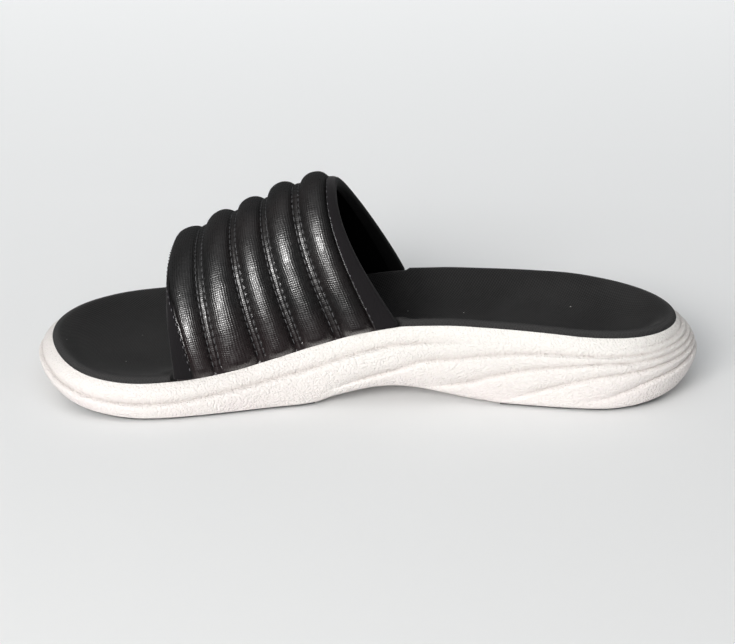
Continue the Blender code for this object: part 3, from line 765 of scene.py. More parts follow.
@dataclass(frozen=True)
class RubberFinish:
    """Black rubber, matte, a little dusty in its hollows."""

    colour: tuple = (0.016, 0.016, 0.017, 1.0)
    dusty_colour: tuple = (0.055, 0.053, 0.050, 1.0)
    roughness: float = 0.66
    grain_scale: float = 1700.0
    grain_depth: float = 0.00006

    def material(self, groups: Groups) -> bpy.types.Material:
        """Return the rubber's material."""
        material, graph, shader, coords = start_material("rubber_finish")
        vector = coords["Object"]
        dusty = graph.ramp(graph.noise(vector, 90.0, 5.0), 0.45, 0.8)
        grain = graph.group(groups.grain, {"Vector": vector, "Scale": self.grain_scale})["Height"]
        graph.fill(shader, {
            "Base Color": graph.mix(dusty, self.colour, self.dusty_colour),
            "Roughness": graph.ramp(grain, 0.0, 1.2, self.roughness + 0.1, self.roughness - 0.06),
            "Normal": graph.bump(grain, self.grain_depth, 0.7)})
        return material


@dataclass(frozen=True)
class ThreadFinish:
    """Twisted sewing thread with a low sheen."""

    name: str
    colour: tuple
    light_colour: tuple
    roughness: float = 0.5
    twist_scale: float = 900.0
    twist_depth: float = 0.00006

    def material(self, _groups: Groups) -> bpy.types.Material:
        """Return the thread's material."""
        material, graph, shader, coords = start_material(self.name)
        vector = coords["Object"]
        uneven = graph.ramp(graph.noise(vector, 700.0), 0.35, 0.65)
        twist = graph.node("ShaderNodeTexWave", {"Vector": vector, "Scale": self.twist_scale,
                                                 "Distortion": 1.0}, bands_direction="DIAGONAL")
        graph.fill(shader, {
            "Base Color": graph.mix(uneven, self.colour, self.light_colour),
            "Roughness": graph.ramp(uneven, 0.0, 1.0, self.roughness + 0.1, self.roughness),
            "Normal": graph.bump(twist.outputs[1], self.twist_depth, 0.8)})
        return material


# Sole


class Pad(NamedTuple):
    """A rubber pad: its node, and where it starts and ends along the footbed."""

    node: str
    start: float
    end: float


class Crease(NamedTuple):
    """Heights of the side's creases, as shares of the wall, at a girth share."""

    girth: float
    first: float
    second: float
    third: float
    fourth: float
    fifth: float


PADS = (Pad("outsole_forefoot", 0.035, 0.425), Pad("outsole_heel", 0.715, 0.975))
CREASES = (
    Crease(0.00, 0.48, 0.14, 0.105, 0.070, 0.035),
    Crease(0.14, 0.47, 0.14, 0.105, 0.070, 0.035),
    Crease(0.26, 0.45, 0.14, 0.105, 0.070, 0.035),
    Crease(0.33, 0.55, 0.14, 0.105, 0.070, 0.035),
    Crease(0.40, 0.62, 0.14, 0.105, 0.070, 0.035),
    Crease(0.48, 0.66, 0.16, 0.105, 0.070, 0.035),
    Crease(0.56, 0.71, 0.28, 0.020, 0.010, 0.010),
    Crease(0.60, 0.74, 0.46, 0.050, 0.015, 0.010),
    Crease(0.65, 0.78, 0.56, 0.19, 0.020, 0.015),
    Crease(0.70, 0.82, 0.66, 0.39, 0.040, 0.020),
    Crease(0.77, 0.86, 0.74, 0.56, 0.27, 0.030),
    Crease(0.84, 0.87, 0.77, 0.67, 0.50, 0.16),
    Crease(0.90, 0.87, 0.78, 0.69, 0.57, 0.38),
    Crease(1.00, 0.89, 0.80, 0.71, 0.62, 0.51),
)
CREASE_STARTS = {"first": -1.0, "second": 0.46, "third": 0.585, "fourth": 0.690, "fifth": 0.80}
FIRST_CREASE_STRENGTH = SmoothTable((0.0, 0.58, 0.70, 0.84, 0.93, 1.0), (1.0, 1.0, 0.4, 0.4, 0.9, 1.0))


@dataclass
class Midsole:
    """The moulded foam sole with its waved side and its pocket for the footbed."""

    last: Last
    columns: int = 280
    wall_rows: int = 72
    cap_rows: int = 22
    crease_depth: float = 0.0020
    crease_fade: float = 0.07
    tuck_above: float = 0.0042
    tuck_above_heel: float = 0.0016
    heel_tuck_start: float = 0.66
    heel_tuck_run: float = 0.26
    ledge_below: float = 0.0005
    floor_drop: float = 0.0009
    drop_run: float = 0.030
    floor_round: float = 0.0008
    floor_round_share: float = 0.05

    def creases(self, loop: Loop, share: np.ndarray, wall: np.ndarray) -> np.ndarray:
        """Return how deep the creases cut: a long tuck above each, a short ledge below.

        Args:
            loop: the columns round the rim.
            share: heights as shares of the wall, one a row.
            wall: the wall's height at each column.

        Returns:
            Depths, rows by columns.
        """
        depth = np.zeros((len(share), len(wall)))
        towards_heel = ease((loop.girth - self.heel_tuck_start) / self.heel_tuck_run)
        above = self.tuck_above + (self.tuck_above_heel - self.tuck_above) * towards_heel
        for name in Crease._fields[1:]:
            place = SmoothTable.of(CREASES, name)(loop.girth)
            fade = ease((loop.girth - CREASE_STARTS[name]) / self.crease_fade)
            if name == "first":
                fade *= FIRST_CREASE_STRENGTH(loop.girth)
            away = (share[:, None] - place[None]) * wall[None]
            cut = np.where(away >= 0, np.exp(-away / above[None]), np.exp(away / self.ledge_below))
            depth = np.maximum(depth, cut * fade[None])
        return self.crease_depth * depth

    def drop(self, x: np.ndarray) -> np.ndarray:
        """Return how far the foam's edge hangs down round the rubber pads at x."""
        along = x / self.last.length
        return self.floor_drop * sum(between(along, pad.start, pad.end, self.drop_run) for pad in PADS)

    def build(self, material: bpy.types.Material) -> bpy.types.Object:
        """Loft the side, close it with the underside and the pocket, and dress it."""
        last, loop = self.last, self.last.loop(self.columns)
        share = np.linspace(0, 1, self.wall_rows + 1)
        low_x, low_y = loop.out(last.bulge(loop.x, np.zeros_like(loop.x)))
        wall = last.rim(loop.x, loop.y) - last.under(low_x, low_y)
        cut = self.creases(loop, share, wall)
        away = last.bulge(loop.x[None], share[:, None]) - cut
        edge = np.clip(1 - share / self.floor_round_share, 0, 1)[:, None]
        x, y = loop.out(away - self.floor_round * edge ** 2)
        low = last.under(x, y) - self.drop(loop.x)[None]
        z = low + (last.rim(loop.x, loop.y)[None] - low) * share[:, None]
        side = np.stack([x, y, z], axis=-1)
        pocket = np.stack([loop.x, loop.y, last.pocket(loop.x, loop.y)], axis=-1)
        bm = bmesh.new()
        add_sheet(bm, side)
        add_sheet(bm, np.stack([side[-1], (side[-1] + pocket) / 2, pocket]))
        add_sheet(bm, cap(self.columns, side[0], self.cap_rows, last.under))
        add_sheet(bm, cap(self.columns, pocket, self.cap_rows, last.pocket))
        weld(bm)
        # The creases' depths are written for the finish to darken them: painted shade, with a little dirt
        # tint.
        mark(bm, "hollow", side, (cut / self.crease_depth) ** 3)
        return finish_piece("foam_sole", bm, material, ["midsole"])


@dataclass
class Outsole:
    """The thin rubber pads under the ball and the heel, with their tread."""

    last: Last
    inset: float = 0.0016
    edge: float = 0.0006
    tread_depth: float = 0.0010
    tread_pitch: float = 0.0095
    tread_width: float = 0.0022
    tread_draft: float = 0.0005
    tread_border: float = 0.0022
    sipe_depth: float = 0.0004
    sipe_pitch: float = 0.0024
    sipe_sway: float = 0.0006
    sipe_sway_rate: float = 900.0
    sipe_from: float = 0.55
    sipe_run: float = 0.3
    outline_samples: int = 600
    end_run: float = 0.006
    rows_across: int = 64
    row_step: float = 0.00042

    def outline(self, side: Side) -> np.ndarray:
        """Return the plan line, inside the foam's floor edge, that a pad follows."""
        x, y, nx, ny = self.last.at(side, np.linspace(0, 1, self.outline_samples))
        away = self.last.bulge(x, np.zeros_like(x)) - self.inset
        return np.column_stack([x + nx * away, y + ny * away])

    def relief(self, x: np.ndarray, y: np.ndarray, near: np.ndarray, start: float,
               end: float) -> np.ndarray:
        """Return how far the tread's grooves and sipes rise from the lugs' face.

        Args:
            x: places along the pad.
            y: places across it.
            near: distances to its nearest side.
            start: where the pad starts.
            end: where it ends.

        Returns:
            Heights above the face, nothing within the plain border.
        """
        grooves = int((end - start - self.tread_pitch) / self.tread_pitch)
        first = (start + end) / 2 - (grooves - 1) / 2 * self.tread_pitch
        nearest = np.clip(np.round((x - first) / self.tread_pitch), 0, grooves - 1)
        gap = np.abs(x - first - nearest * self.tread_pitch)
        groove = ease((self.tread_width / 2 + self.tread_draft - gap) / self.tread_draft)
        sway = self.sipe_sway * np.sin(x * self.sipe_sway_rate)
        wave = np.sin(math.tau * (y + sway) / self.sipe_pitch)
        sipe = ease((wave - self.sipe_from) / self.sipe_run)
        inside = ease((near - self.tread_border) / self.tread_draft)
        return np.maximum(self.tread_depth * groove, self.sipe_depth * sipe) * inside

    def build(self, material: bpy.types.Material) -> list[bpy.types.Object]:
        """Loft both pads and dress them."""
        edges = {side: self.outline(side) for side in Side}
        made = []
        for pad in PADS:
            start = max(pad.start * self.last.length, edges[Side.MEDIAL][0, 0] + self.edge)
            end = min(pad.end * self.last.length, edges[Side.MEDIAL][-1, 0] - self.edge)
            turn = np.linspace(0, math.pi, int((end - start) / self.row_step))
            x = np.linspace(start, end, len(turn))
            rounded = (end - start) * 0.5 * (1 - np.cos(turn)) + start
            x = np.unique(np.where(np.minimum(x - start, end - x) < self.end_run, rounded, x))
            low = np.interp(x, edges[Side.MEDIAL][:, 0], edges[Side.MEDIAL][:, 1])
            high = np.interp(x, edges[Side.LATERAL][:, 0], edges[Side.LATERAL][:, 1])
            share = np.linspace(0, 1, self.rows_across + 1)
            y = low[:, None] + (high - low)[:, None] * share[None]
            grid_x = np.repeat(x[:, None], len(share), axis=1)
            near = np.minimum(y - low[:, None], high[:, None] - y)
            corner = self.edge * np.clip(1 - near / self.edge, 0, 1) ** 2
            top = self.last.under(grid_x, y) - self.last.clearance
            foot = self.last.under(grid_x, y) - self.last.outsole_thickness
            foot = foot + np.maximum(self.relief(grid_x, y, near, start, end), corner)
            bm = walled_sheet(np.stack([grid_x, y, foot], axis=-1), np.stack([grid_x, y, top], axis=-1))
            made.append(finish_piece(pad.node.replace("outsole", "rubber_pad"), bm, material,
                                     [pad.node]))
        return made


@dataclass
class Footbed:
    """The cupped insole with its rounded, slightly proud edge."""

    last: Last
    reach: "BandReach"
    columns: int = 280
    edge_rows: int = 44
    cap_rows: int = 44
    edge_width: float = 0.0100
    lip: float = 0.0020
    lip_width: float = 0.0052
    lip_crest: float = 0.55
    slope_width: float = 0.0190
    edge_crowding: float = 1.4
    rub_place: float = 0.30
    rub_width: float = 0.30

    def profile(self, depth: np.ndarray) -> tuple[np.ndarray, np.ndarray]:
        """Return the lip's rise and the slope's share at depths in from the edge."""
        crest = self.lip_crest * self.lip_width
        rise = SmoothTable([0.0, 0.08 * self.lip_width, 0.26 * self.lip_width, crest, crest + 1e-4],
                           [-0.2, 0.45, 0.85, 1.0, 1.0])(depth)
        places = [crest + k * self.slope_width for k in (0.0, 0.12, 0.4, 0.75, 1.1, 1.4, 1.5)]
        share = SmoothTable([0.0] + places, [1.0, 1.0, 0.90, 0.52, 0.20, 0.05, 0.0, 0.0])(depth)
        return rise, share

    def dish(self, x: np.ndarray, y: np.ndarray, edge: np.ndarray) -> np.ndarray:
        """Return the height of the dished bed inside the lip.

        Args:
            x: places along the bed.
            y: places across it.
            edge: points round the footbed's edge.

        Returns:
            Heights over the plan.
        """
        depth = np.hypot(x[..., None] - edge[:, 0], y[..., None] - edge[:, 1]).min(axis=-1)
        rim, bed = self.last.rim(x, y) + self.lip, self.last.bed(x, y)
        return bed + (rim - bed) * self.profile(depth)[1]

    def build(self, material: bpy.types.Material) -> bpy.types.Object:
        """Loft the footbed from its underside over the lip to the bed, and dress it."""
        last, loop = self.last, self.last.loop(self.columns)
        depth = self.edge_width * np.linspace(0, 1, self.edge_rows + 1) ** self.edge_crowding
        rise, _ = self.profile(depth)
        away = -(last.clearance + self.reach.notch(loop)[None] + depth[:, None])
        x, y = loop.out(away)
        in_lip = (depth < self.lip_crest * self.lip_width)[:, None]
        edge = np.column_stack([x[0], y[0]])
        z = np.where(in_lip, last.rim(x, y) + self.lip * rise[:, None], self.dish(x, y, edge))
        top = np.stack([x, y, z], axis=-1)
        foot = top[0].copy()
        foot[:, 2] = last.pocket(foot[:, 0], foot[:, 1]) + last.clearance
        bm = bmesh.new()
        add_sheet(bm, top)
        add_sheet(bm, np.stack([foot, (foot * 2 + top[0]) / 3, (foot + top[0] * 2) / 3, top[0]]))
        add_sheet(bm, cap(self.columns, top[-1], self.cap_rows, lambda px, py: self.dish(px, py, edge)))
        add_sheet(bm, cap(self.columns, foot, self.cap_rows,
                          lambda px, py: last.pocket(px, py) + last.clearance))
        weld(bm)
        # A lighter band along the top of the lip: painted highlight.
        rubbed = np.exp(-((depth / self.lip_width - self.rub_place) / self.rub_width) ** 2)
        mark(bm, "rubbed", top, np.repeat(rubbed[:, None], top.shape[1], axis=1))
        return finish_piece("footbed", bm, material, ["insole"])


# Band


class BandLine(NamedTuple):
    """A line across the band: shares of its base, its crest and the rise to the instep."""

    base: float
    crest: float
    rise: float


BAND_LINES = {
    "front_edge": BandLine(0.000, 0.010, -0.030),
    "front_seam": BandLine(0.078, 0.009, 0.050),
    "valley_1": BandLine(0.187, 0.172, 0.250),
    "valley_2": BandLine(0.390, 0.380, 0.487),
    "valley_3": BandLine(0.561, 0.575, 0.695),
    "valley_4": BandLine(0.741, 0.770, 0.917),
    "rear_seam": BandLine(0.9035, 0.955, 0.996),
    "rear_edge": BandLine(1.000, 1.000, 1.000),
}
VALLEYS = ("valley_1", "valley_2", "valley_3", "valley_4")
SEAMS = ("front_seam", *VALLEYS, "rear_seam")


@dataclass
class BandReach:
    """Where the band meets the rim, and the room that the footbed leaves for it."""

    last: Last
    setback: float = 0.0556
    medial_length: float = 0.0862
    lateral_length: float = 0.0900
    wall: float = 0.0018
    tape: float = 0.0008
    notch_step: float = 0.0018

    def ends(self, side: Side) -> tuple[float, float]:
        """Return the x where the band starts and ends along a side's rim."""
        length = self.medial_length if side is Side.MEDIAL else self.lateral_length
        return self.setback, self.setback + length

    def notch(self, loop: Loop) -> np.ndarray:
        """Return how far the footbed steps in behind the band at each column."""
        play = self.tape + 2 * self.last.clearance
        room = np.zeros_like(loop.x)
        for mark, side in ((0.0, Side.MEDIAL), (1.0, Side.LATERAL)):
            front, rear = self.ends(side)
            inside = between(loop.x, front - play, rear + play, self.notch_step)
            room = np.where(loop.side == mark, inside * (self.wall + play), room)
        return room


@dataclass
class BandForm:
    """The inner skin of the band and the thickness of what lies on it."""

    last: Last
    reach: BandReach
    front_height: float = 0.0514
    instep_height: float = 0.0816
    crest_length: float = 0.0645
    crest_setback: float = -0.0032
    crest_share: float = 0.45
    fullness: float = 2.2
    medial_sweep: float = 1.4
    lateral_sweep: float = 1.1
    tuck: float = 0.0055
    rib_rises: tuple = (0.0025, 0.0036, 0.0038, 0.0040, 0.0046)
    rib_crest_share: float = 0.80
    rib_round: float = 2.2
    rib_fullness: float = 0.75
    rib_end: float = 0.0042
    valley_width: float = 0.0036
    front_curl: float = 0.080
    front_curl_fade: float = 1.5
    front_curl_round: float = 0.7
    arch_samples: int = 900
    run_probes: int = 12

    @property
    def half_valley(self) -> float:
        """Half a sewn channel's width, as a share of the band."""
        return self.valley_width / 2 / self.reach.medial_length

    def arch(self, line: float) -> tuple[np.ndarray, np.ndarray]:
        """Return samples across the foot and their running length for one line."""
        ends = []
        for side in Side:
            front, rear = self.reach.ends(side)
            girth = self.last.girth_at(side, np.array(front + (rear - front) * line))
            x, y, nx, ny = self.last.at(side, girth)
            inset = self.last.clearance + self.reach.wall
            ends.append((x - nx * inset, y - ny * inset, self.last.rim(x, y)))
        (low_x, low_y, low_z), (high_x, high_y, high_z) = ends
        share = min(max(line, 0.0), 1.0)
        rows = tuple(BAND_LINES.values())
        crest, climb = (SmoothTable.of(rows, name)(np.array(share)) for name in ("crest", "rise"))
        crest_x = self.reach.setback + self.crest_setback + (crest + line - share) * self.crest_length
        crest_y = low_y + (high_y - low_y) * self.crest_share
        crest_z = self.front_height + (self.instep_height - self.front_height) * climb
        angle = np.linspace(0, math.pi, self.arch_samples + 1)
        near = angle < math.pi / 2
        across = np.abs(np.cos(angle)) ** (2 / self.fullness)
        ahead = max(0.0, 1 - share / BAND_LINES["front_seam"].base)
        curl = self.front_curl * ahead ** self.front_curl_fade
        across *= 1 - curl * np.sin(angle) ** self.front_curl_round
        up = np.clip(np.sin(angle), 0, 1) ** (2 / self.fullness)
        up[0] = up[-1] = 0.0
        back = (1 - np.clip(np.sin(angle), 0, 1)) ** np.where(near, self.medial_sweep, self.lateral_sweep)
        points = np.column_stack([
            crest_x + (np.where(near, low_x, high_x) - crest_x) * back,
            crest_y + (np.where(near, low_y, high_y) - crest_y) * across,
            np.where(near, low_z, high_z) + (crest_z - np.where(near, low_z, high_z)) * up])
        return points, run_along(points)

    def skin(self, lines: np.ndarray, rows: np.ndarray) -> np.ndarray:
        """Return the inner skin.

        Args:
            lines: line shares, front 0 to rear 1.
            rows: shares of the arch; below 0 and above 1 lie in the tuck, in tucks.

        Returns:
            Points, rows by lines by xyz.
        """
        table = np.zeros((len(rows), len(lines), 3))
        for i, line in enumerate(lines):
            points, run = self.arch(float(line))
            at = np.clip(rows, 0, 1) * run[-1]
            table[:, i] = np.column_stack([np.interp(at, run, points[:, k]) for k in range(3)])
            table[:, i, 2] -= (np.clip(-rows, 0, None) + np.clip(rows - 1, 0, None)) * self.tuck
        return table

    @staticmethod
    def normals(table: np.ndarray) -> np.ndarray:
        """Return the outward normals over a skin."""
        normal = np.cross(np.gradient(table, axis=1), np.gradient(table, axis=0))
        return normal / np.linalg.norm(normal, axis=2)[..., None]

    def run_of(self, line: float) -> float:
        """Return the length of the arch at a line."""
        return float(self.arch(line)[1][-1])

    def rib_place(self, lines: np.ndarray) -> tuple[np.ndarray, np.ndarray]:
        """Return each line's rib number and its place in it, -1 to 1; 2 outside."""
        seams = [BAND_LINES[name].base for name in SEAMS]
        half = self.half_valley
        number, place = np.zeros(len(lines), int), np.full(len(lines), 2.0)
        for i, (start, end) in enumerate(zip(seams, seams[1:])):
            start += half if i > 0 else 0.0
            end -= half if i < len(seams) - 2 else 0.0
            inside = (lines >= start) & (lines <= end)
            number[inside] = i
            place[inside] = (2 * lines[inside] - start - end) / (end - start)
        return number, place

    def swell(self, lines: np.ndarray, rows: np.ndarray) -> np.ndarray:
        """Return how far the ribs stand up, rows by lines."""
        number, place = self.rib_place(lines)
        shape = np.clip(1 - np.abs(place) ** self.rib_round, 0, 1) ** self.rib_fullness
        rises = np.array(self.rib_rises)[number] * shape
        probes = lines[:: max(1, len(lines) // self.run_probes)]
        run = np.interp(lines, probes, [self.run_of(float(line)) for line in probes])
        low = np.clip(np.minimum(rows, 1 - rows)[:, None] * run[None] / self.rib_end, 0, 1)
        inner = np.clip((rows[:, None] * run[None] - self.rib_end) / (run[None] - 2 * self.rib_end), 0, 1)
        crest = 1 - (1 - self.rib_crest_share) * np.sin(math.pi * inner) ** 2
        return rises[None] * np.sin(low * math.pi / 2) * crest


@dataclass
class StitchRow:
    """A row of stitches: where it runs, and its thread's size."""

    line: float
    pitch: float
    thread: float = 0.00042
    length_share: float = 0.82
    widening: float = 1.15
    lift: float = 0.00012
    end_gap: float = 0.0015
    line_step: float = 0.004


@dataclass
class Band:
    """The padded leather band with its sewn channels, lining and edge bindings."""

    form: BandForm
    lines: int = 184
    rows: int = 236
    tuck_rows: int = 5
    lining: float = 0.0005
    lining_rows: int = 110
    lining_lines: int = 70
    lining_margin: float = 0.004
    lining_play: float = 0.00005
    row_offset: float = 0.74
    row_width: float = 0.22
    row_floor: float = 0.15
    valley_rise: float = 0.00025
    strip_centre: float = 0.08
    strip_half: float = 0.60
    strip_pinch: float = 0.35
    hole_depth: float = 0.00080
    thread_sink: float = 0.25
    shadow_depth: float = 0.00060
    shadow_place: float = -0.82
    shadow_width: float = 0.26
    pucker: float = 0.00020
    pucker_reach: float = 0.0014
    wrinkle: float = 0.00016
    wrinkle_scale: tuple = (60, 90, 60)
    crinkle_share: float = 0.35
    crinkle_scale: tuple = (260, 260, 200)
    crinkle_offset: tuple = (7, 0, 0)
    wrinkled_from: float = 0.002
    crowd: float = 1.6
    crowd_width: float = 0.026
    stitch_pitch: float = 0.0029
    tape_pitch: float = 0.0029
    fill: float = 0.8

    def row_shares(self, rows: int) -> np.ndarray:
        """Return rows from the medial tuck, over the foot, to the lateral tuck."""
        tuck = np.linspace(1, 0, self.tuck_rows, endpoint=False)
        return np.concatenate([-tuck, np.linspace(0, 1, rows), 1 + tuck[::-1]])

    def line_shares(self) -> np.ndarray:
        """Return lines that crowd in the sewn valleys, where the form is finest."""
        even = np.linspace(0, 1, 4000)
        weight = np.ones_like(even)
        for name in SEAMS:
            weight += self.crowd * np.exp(-((even - BAND_LINES[name].base) / self.crowd_width) ** 2)
        run = np.cumsum(weight)
        return np.interp(np.linspace(run[0], run[-1], self.lines), run, even)

    def seam_detail(self, lines: np.ndarray, rows: np.ndarray) -> np.ndarray:
        """Return the relief of the sewn channels: holes, a raised strip and puckers."""
        form = self.form
        half = form.half_valley
        relief = np.zeros((len(rows), len(lines)))
        for name in VALLEYS:
            base = BAND_LINES[name].base
            place = (lines - base) / half
            run = form.run_of(base)
            phase = rows * run / self.stitch_pitch
            hole = np.clip(np.cos(math.tau * phase), 0, 1) ** 2
            strip = np.clip(1 - ((place - self.strip_centre) / self.strip_half) ** 2, 0, 1) ** 0.5
            relief += self.valley_rise * strip[None] * (1 - self.strip_pinch * hole[:, None])
            shadow = np.exp(-((place - self.shadow_place) / self.shadow_width) ** 2)
            relief -= self.shadow_depth * shadow[None]
            for sign in (-1, 1):
                beside = np.exp(-((place - sign * self.row_offset) / self.row_width) ** 2)
                depth = self.hole_depth * (self.row_floor + (1 - self.row_floor) * hole[:, None])
                relief -= depth * beside[None]
                past = np.clip(sign * place - 1, 0, None) * half * form.reach.medial_length
                fan = np.exp(-past / self.pucker_reach) * (sign * place > 1)
                relief -= self.pucker * fan[None] * hole[:, None]
        return relief

    def wrinkles(self, outer: np.ndarray) -> np.ndarray:
        """Return soft unevenness of the padding over a skin."""
        table = np.zeros(outer.shape[:2])
        for j, i in np.ndindex(table.shape):
            broad = noise.noise(Vector(outer[j, i] * self.wrinkle_scale))
            fine = noise.noise(Vector(outer[j, i] * self.crinkle_scale + self.crinkle_offset))
            table[j, i] = broad + self.crinkle_share * fine
        return self.wrinkle * table

    def build_cover(self, material: bpy.types.Material) -> bpy.types.Object:
        """Loft the leather over its foam ribs and dress it."""
        form = self.form
        lines, rows = self.line_shares(), self.row_shares(self.rows)
        inner = form.skin(lines, rows)
        normal = form.normals(inner)
        swell = form.swell(lines, rows)
        outer = inner + normal * (form.reach.wall + swell)[..., None]
        above = (np.minimum(rows, 1 - rows) > 0.0)[:, None]
        soft = np.clip(swell / self.wrinkled_from, 0, 1)
        relief = self.seam_detail(lines, rows) + self.wrinkles(outer) * soft
        outer = outer + normal * (relief * above)[..., None]
        across = run_along(outer[len(rows) // 4])
        along = rows * form.run_of(0.5)
        uv = np.stack(np.broadcast_arrays(along[:, None], across[None]), axis=-1)
        bm = walled_sheet(outer, inner + normal * (self.lining + self.lining_play), uv)
        piece = finish_piece("band_cover", bm, material, ["upper_band"])
        return piece

    def build_lining(self, material: bpy.types.Material) -> bpy.types.Object:
        """Loft the thin lining inside the cover."""
        rows = self.row_shares(self.lining_rows)
        lines = np.linspace(self.lining_margin, 1 - self.lining_margin, self.lining_lines)
        inner = self.form.skin(lines, rows)
        normal = self.form.normals(inner)
        bm = walled_sheet(inner + normal * self.lining, inner)
        return finish_piece("band_lining", bm, material)

    def build_thread(self, material: bpy.types.Material) -> list[bpy.types.Object]:
        """Sew both rows of stitches in each valley."""
        form, made = self.form, []
        half = form.half_valley
        height = form.reach.wall - self.hole_depth * self.thread_sink
        for name in VALLEYS:
            bm, base = bmesh.new(), BAND_LINES[name].base
            for sign in (-1, 1):
                row = StitchRow(base + sign * half * self.row_offset, self.stitch_pitch)
                sew(bm, form, row, height, form.run_of(base))
            made.append(finish_piece(f"{name}_thread", bm, material))
        return made


def sew(bm: bmesh.types.BMesh, form: BandForm, row: StitchRow, height: float, run: float) -> None:
    """Add a row of stitches over the band's inner skin.

    Args:
        bm: the mesh that the stitches join.
        form: the band's form.
        row: the row of stitches.
        height: how far above the inner skin the thread lies.
        run: the arch's length that sets the pitch.
    """
    count = int((run - 2 * row.end_gap) / row.pitch)
    first = math.ceil(row.end_gap / row.pitch)
    centres = (np.arange(first, first + count) + 0.5) * row.pitch / run
    centres = centres[centres * run < run - row.end_gap]
    step = 0.5 * row.pitch / run
    half = (row.pitch * row.length_share / 2, row.thread / 2 * row.widening, row.thread / 2, 1.0)
    table = form.skin(np.array([row.line - row.line_step, row.line, row.line + row.line_step]),
                      np.sort(np.concatenate([centres - step, centres, centres + step])))
    normal = form.normals(table)
    for k in range(1, len(table) - 1, 3):
        start, middle, end = table[k - 1, 1], table[k, 1], table[k + 1, 1]
        along = Vector(end - start).normalized()
        up = Vector(normal[k, 1])
        aside = up.cross(along).normalized()
        up = along.cross(aside)
        centre = Vector(middle) + up * (height + row.lift)
        turn = Matrix((along, aside, up)).transposed().to_4x4()
        place = Matrix.Translation(centre) @ turn @ Matrix.Diagonal(half)
        ball = bmesh.ops.create_uvsphere(bm, u_segments=6, v_segments=6, radius=1.0,
                                         matrix=Matrix.Rotation(math.pi / 2, 4, "Y"))
        bmesh.ops.transform(bm, matrix=place, verts=ball["verts"])


@dataclass
class Binding:
    """A flat tape folded round one edge of the band and sewn through."""

    form: BandForm
    edge: str
    seam: str
    node: str
    rows: int = 210
    flap_steps: int = 12
    fold_steps: int = 10
    inner_share: float = 0.55
    fold_reach: float = 0.0003
    lift: float = 0.0008
    crown: float = 0.00025
    row_inset: float = 0.0009
    stitch_share: float = 0.42

    def build(self, material: bpy.types.Material) -> bpy.types.Object:
        """Loft the tape over the foot and dress it."""
        form, reach = self.form, self.form.reach
        gap, tape = form.last.clearance, reach.tape
        edge, seam = BAND_LINES[self.edge].base, BAND_LINES[self.seam].base
        run = form.run_of(edge)
        rows = np.linspace(self.lift / run, 1 - self.lift / run, self.rows)
        width = np.linalg.norm(np.diff(form.skin(np.array([edge, seam]), np.array([0.5])), axis=1))
        flap = np.linspace(seam + (edge - seam) * gap / width, edge, self.flap_steps)
        under = np.linspace(edge, edge + (seam - edge) * self.inner_share, self.flap_steps)
        order = 1 if flap[0] < flap[-1] else -1
        outer_skin = form.skin(flap[::order], rows)[:, ::order]
        inner_skin = form.skin(under[::-order], rows)[:, ::-order]
        outer_normal = form.normals(outer_skin[:, ::order])[:, ::order]
        inner_normal = form.normals(inner_skin[:, ::-order])[:, ::-order]
        normal = outer_normal[:, -1]
        away = outer_skin[:, -1] - outer_skin[:, -2]
        away -= (away * normal).sum(axis=1)[:, None] * normal
        away /= np.linalg.norm(away, axis=1)[:, None]
        core = outer_skin[:, -1] + normal * reach.wall / 2
        crown = self.crown * np.sin(np.linspace(0, math.pi, self.flap_steps))[None, :, None]
        tables = []
        for rise in (gap, gap + tape):
            radius = reach.wall / 2 + rise
            puff = crown if rise > gap else 0.0
            top = outer_skin + outer_normal * (reach.wall + rise + puff)
            angle = np.linspace(0, math.pi, self.fold_steps + 2)[1:-1]
            fold = (core[:, None] + radius * normal[:, None] * np.cos(angle)[None, :, None]
                    + (self.fold_reach + rise) * away[:, None] * np.sin(angle)[None, :, None])
            bottom = inner_skin - inner_normal * rise
            tables.append(np.concatenate([top, fold, bottom], axis=1))
        bm = walled_sheet(tables[1], tables[0])
        # The tape's inner flap, inside the band, is marked for the finish to paint it nearly black: painted
        # shade.
        inside = np.repeat(np.arange(tables[1].shape[1])[None] >= self.flap_steps + self.fold_steps * 0.5,
                           self.rows, axis=0)
        mark(bm, "hollow", tables[1], inside.astype(float))
        return finish_piece(self.node + "_tape", bm, material, [self.node])

    def build_thread(self, pitch: float, material: bpy.types.Material) -> bpy.types.Object:
        """Sew the tape's single row of stitches on its outer face."""
        form, reach = self.form, self.form.reach
        edge, seam = BAND_LINES[self.edge].base, BAND_LINES[self.seam].base
        inward = 1 if seam > edge else -1
        line = seam - inward * self.row_inset / reach.medial_length
        run = form.run_of(line)
        bm = bmesh.new()
        row = StitchRow(line, pitch, length_share=self.stitch_share)
        sew(bm, form, row, reach.wall + form.last.clearance + reach.tape, run)
        return finish_piece(self.node + "_thread", bm, material)


# Studio


class SoftBox(NamedTuple):
    """A studio light: where it hangs, its width and height, watts and colour.

    shines says whether glossy surfaces mirror it, lights whether it lights matte ones.
    """

    name: str
    place: tuple
    size: tuple
    power: float
    colour: tuple
    shines: bool = True
    lights: bool = True


SOFT_BOXES = (
    SoftBox("key_box", (-0.60, -1.40, 0.85), (0.9, 0.6), 22.5, (1.0, 0.985, 0.965), shines=False),
    SoftBox("shine_box", (-0.62, -1.30, 0.76), (0.5, 0.26), 64.0, (1.0, 0.99, 0.98), lights=False),
    SoftBox("top_box", (0.0, 0.1, 1.7), (2.0, 2.0), 4.5, (0.985, 0.99, 1.0)),
    SoftBox("front_box", (-0.7, -1.5, 0.5), (2.0, 1.0), 10.0, (1.0, 0.99, 0.985), shines=False),
)


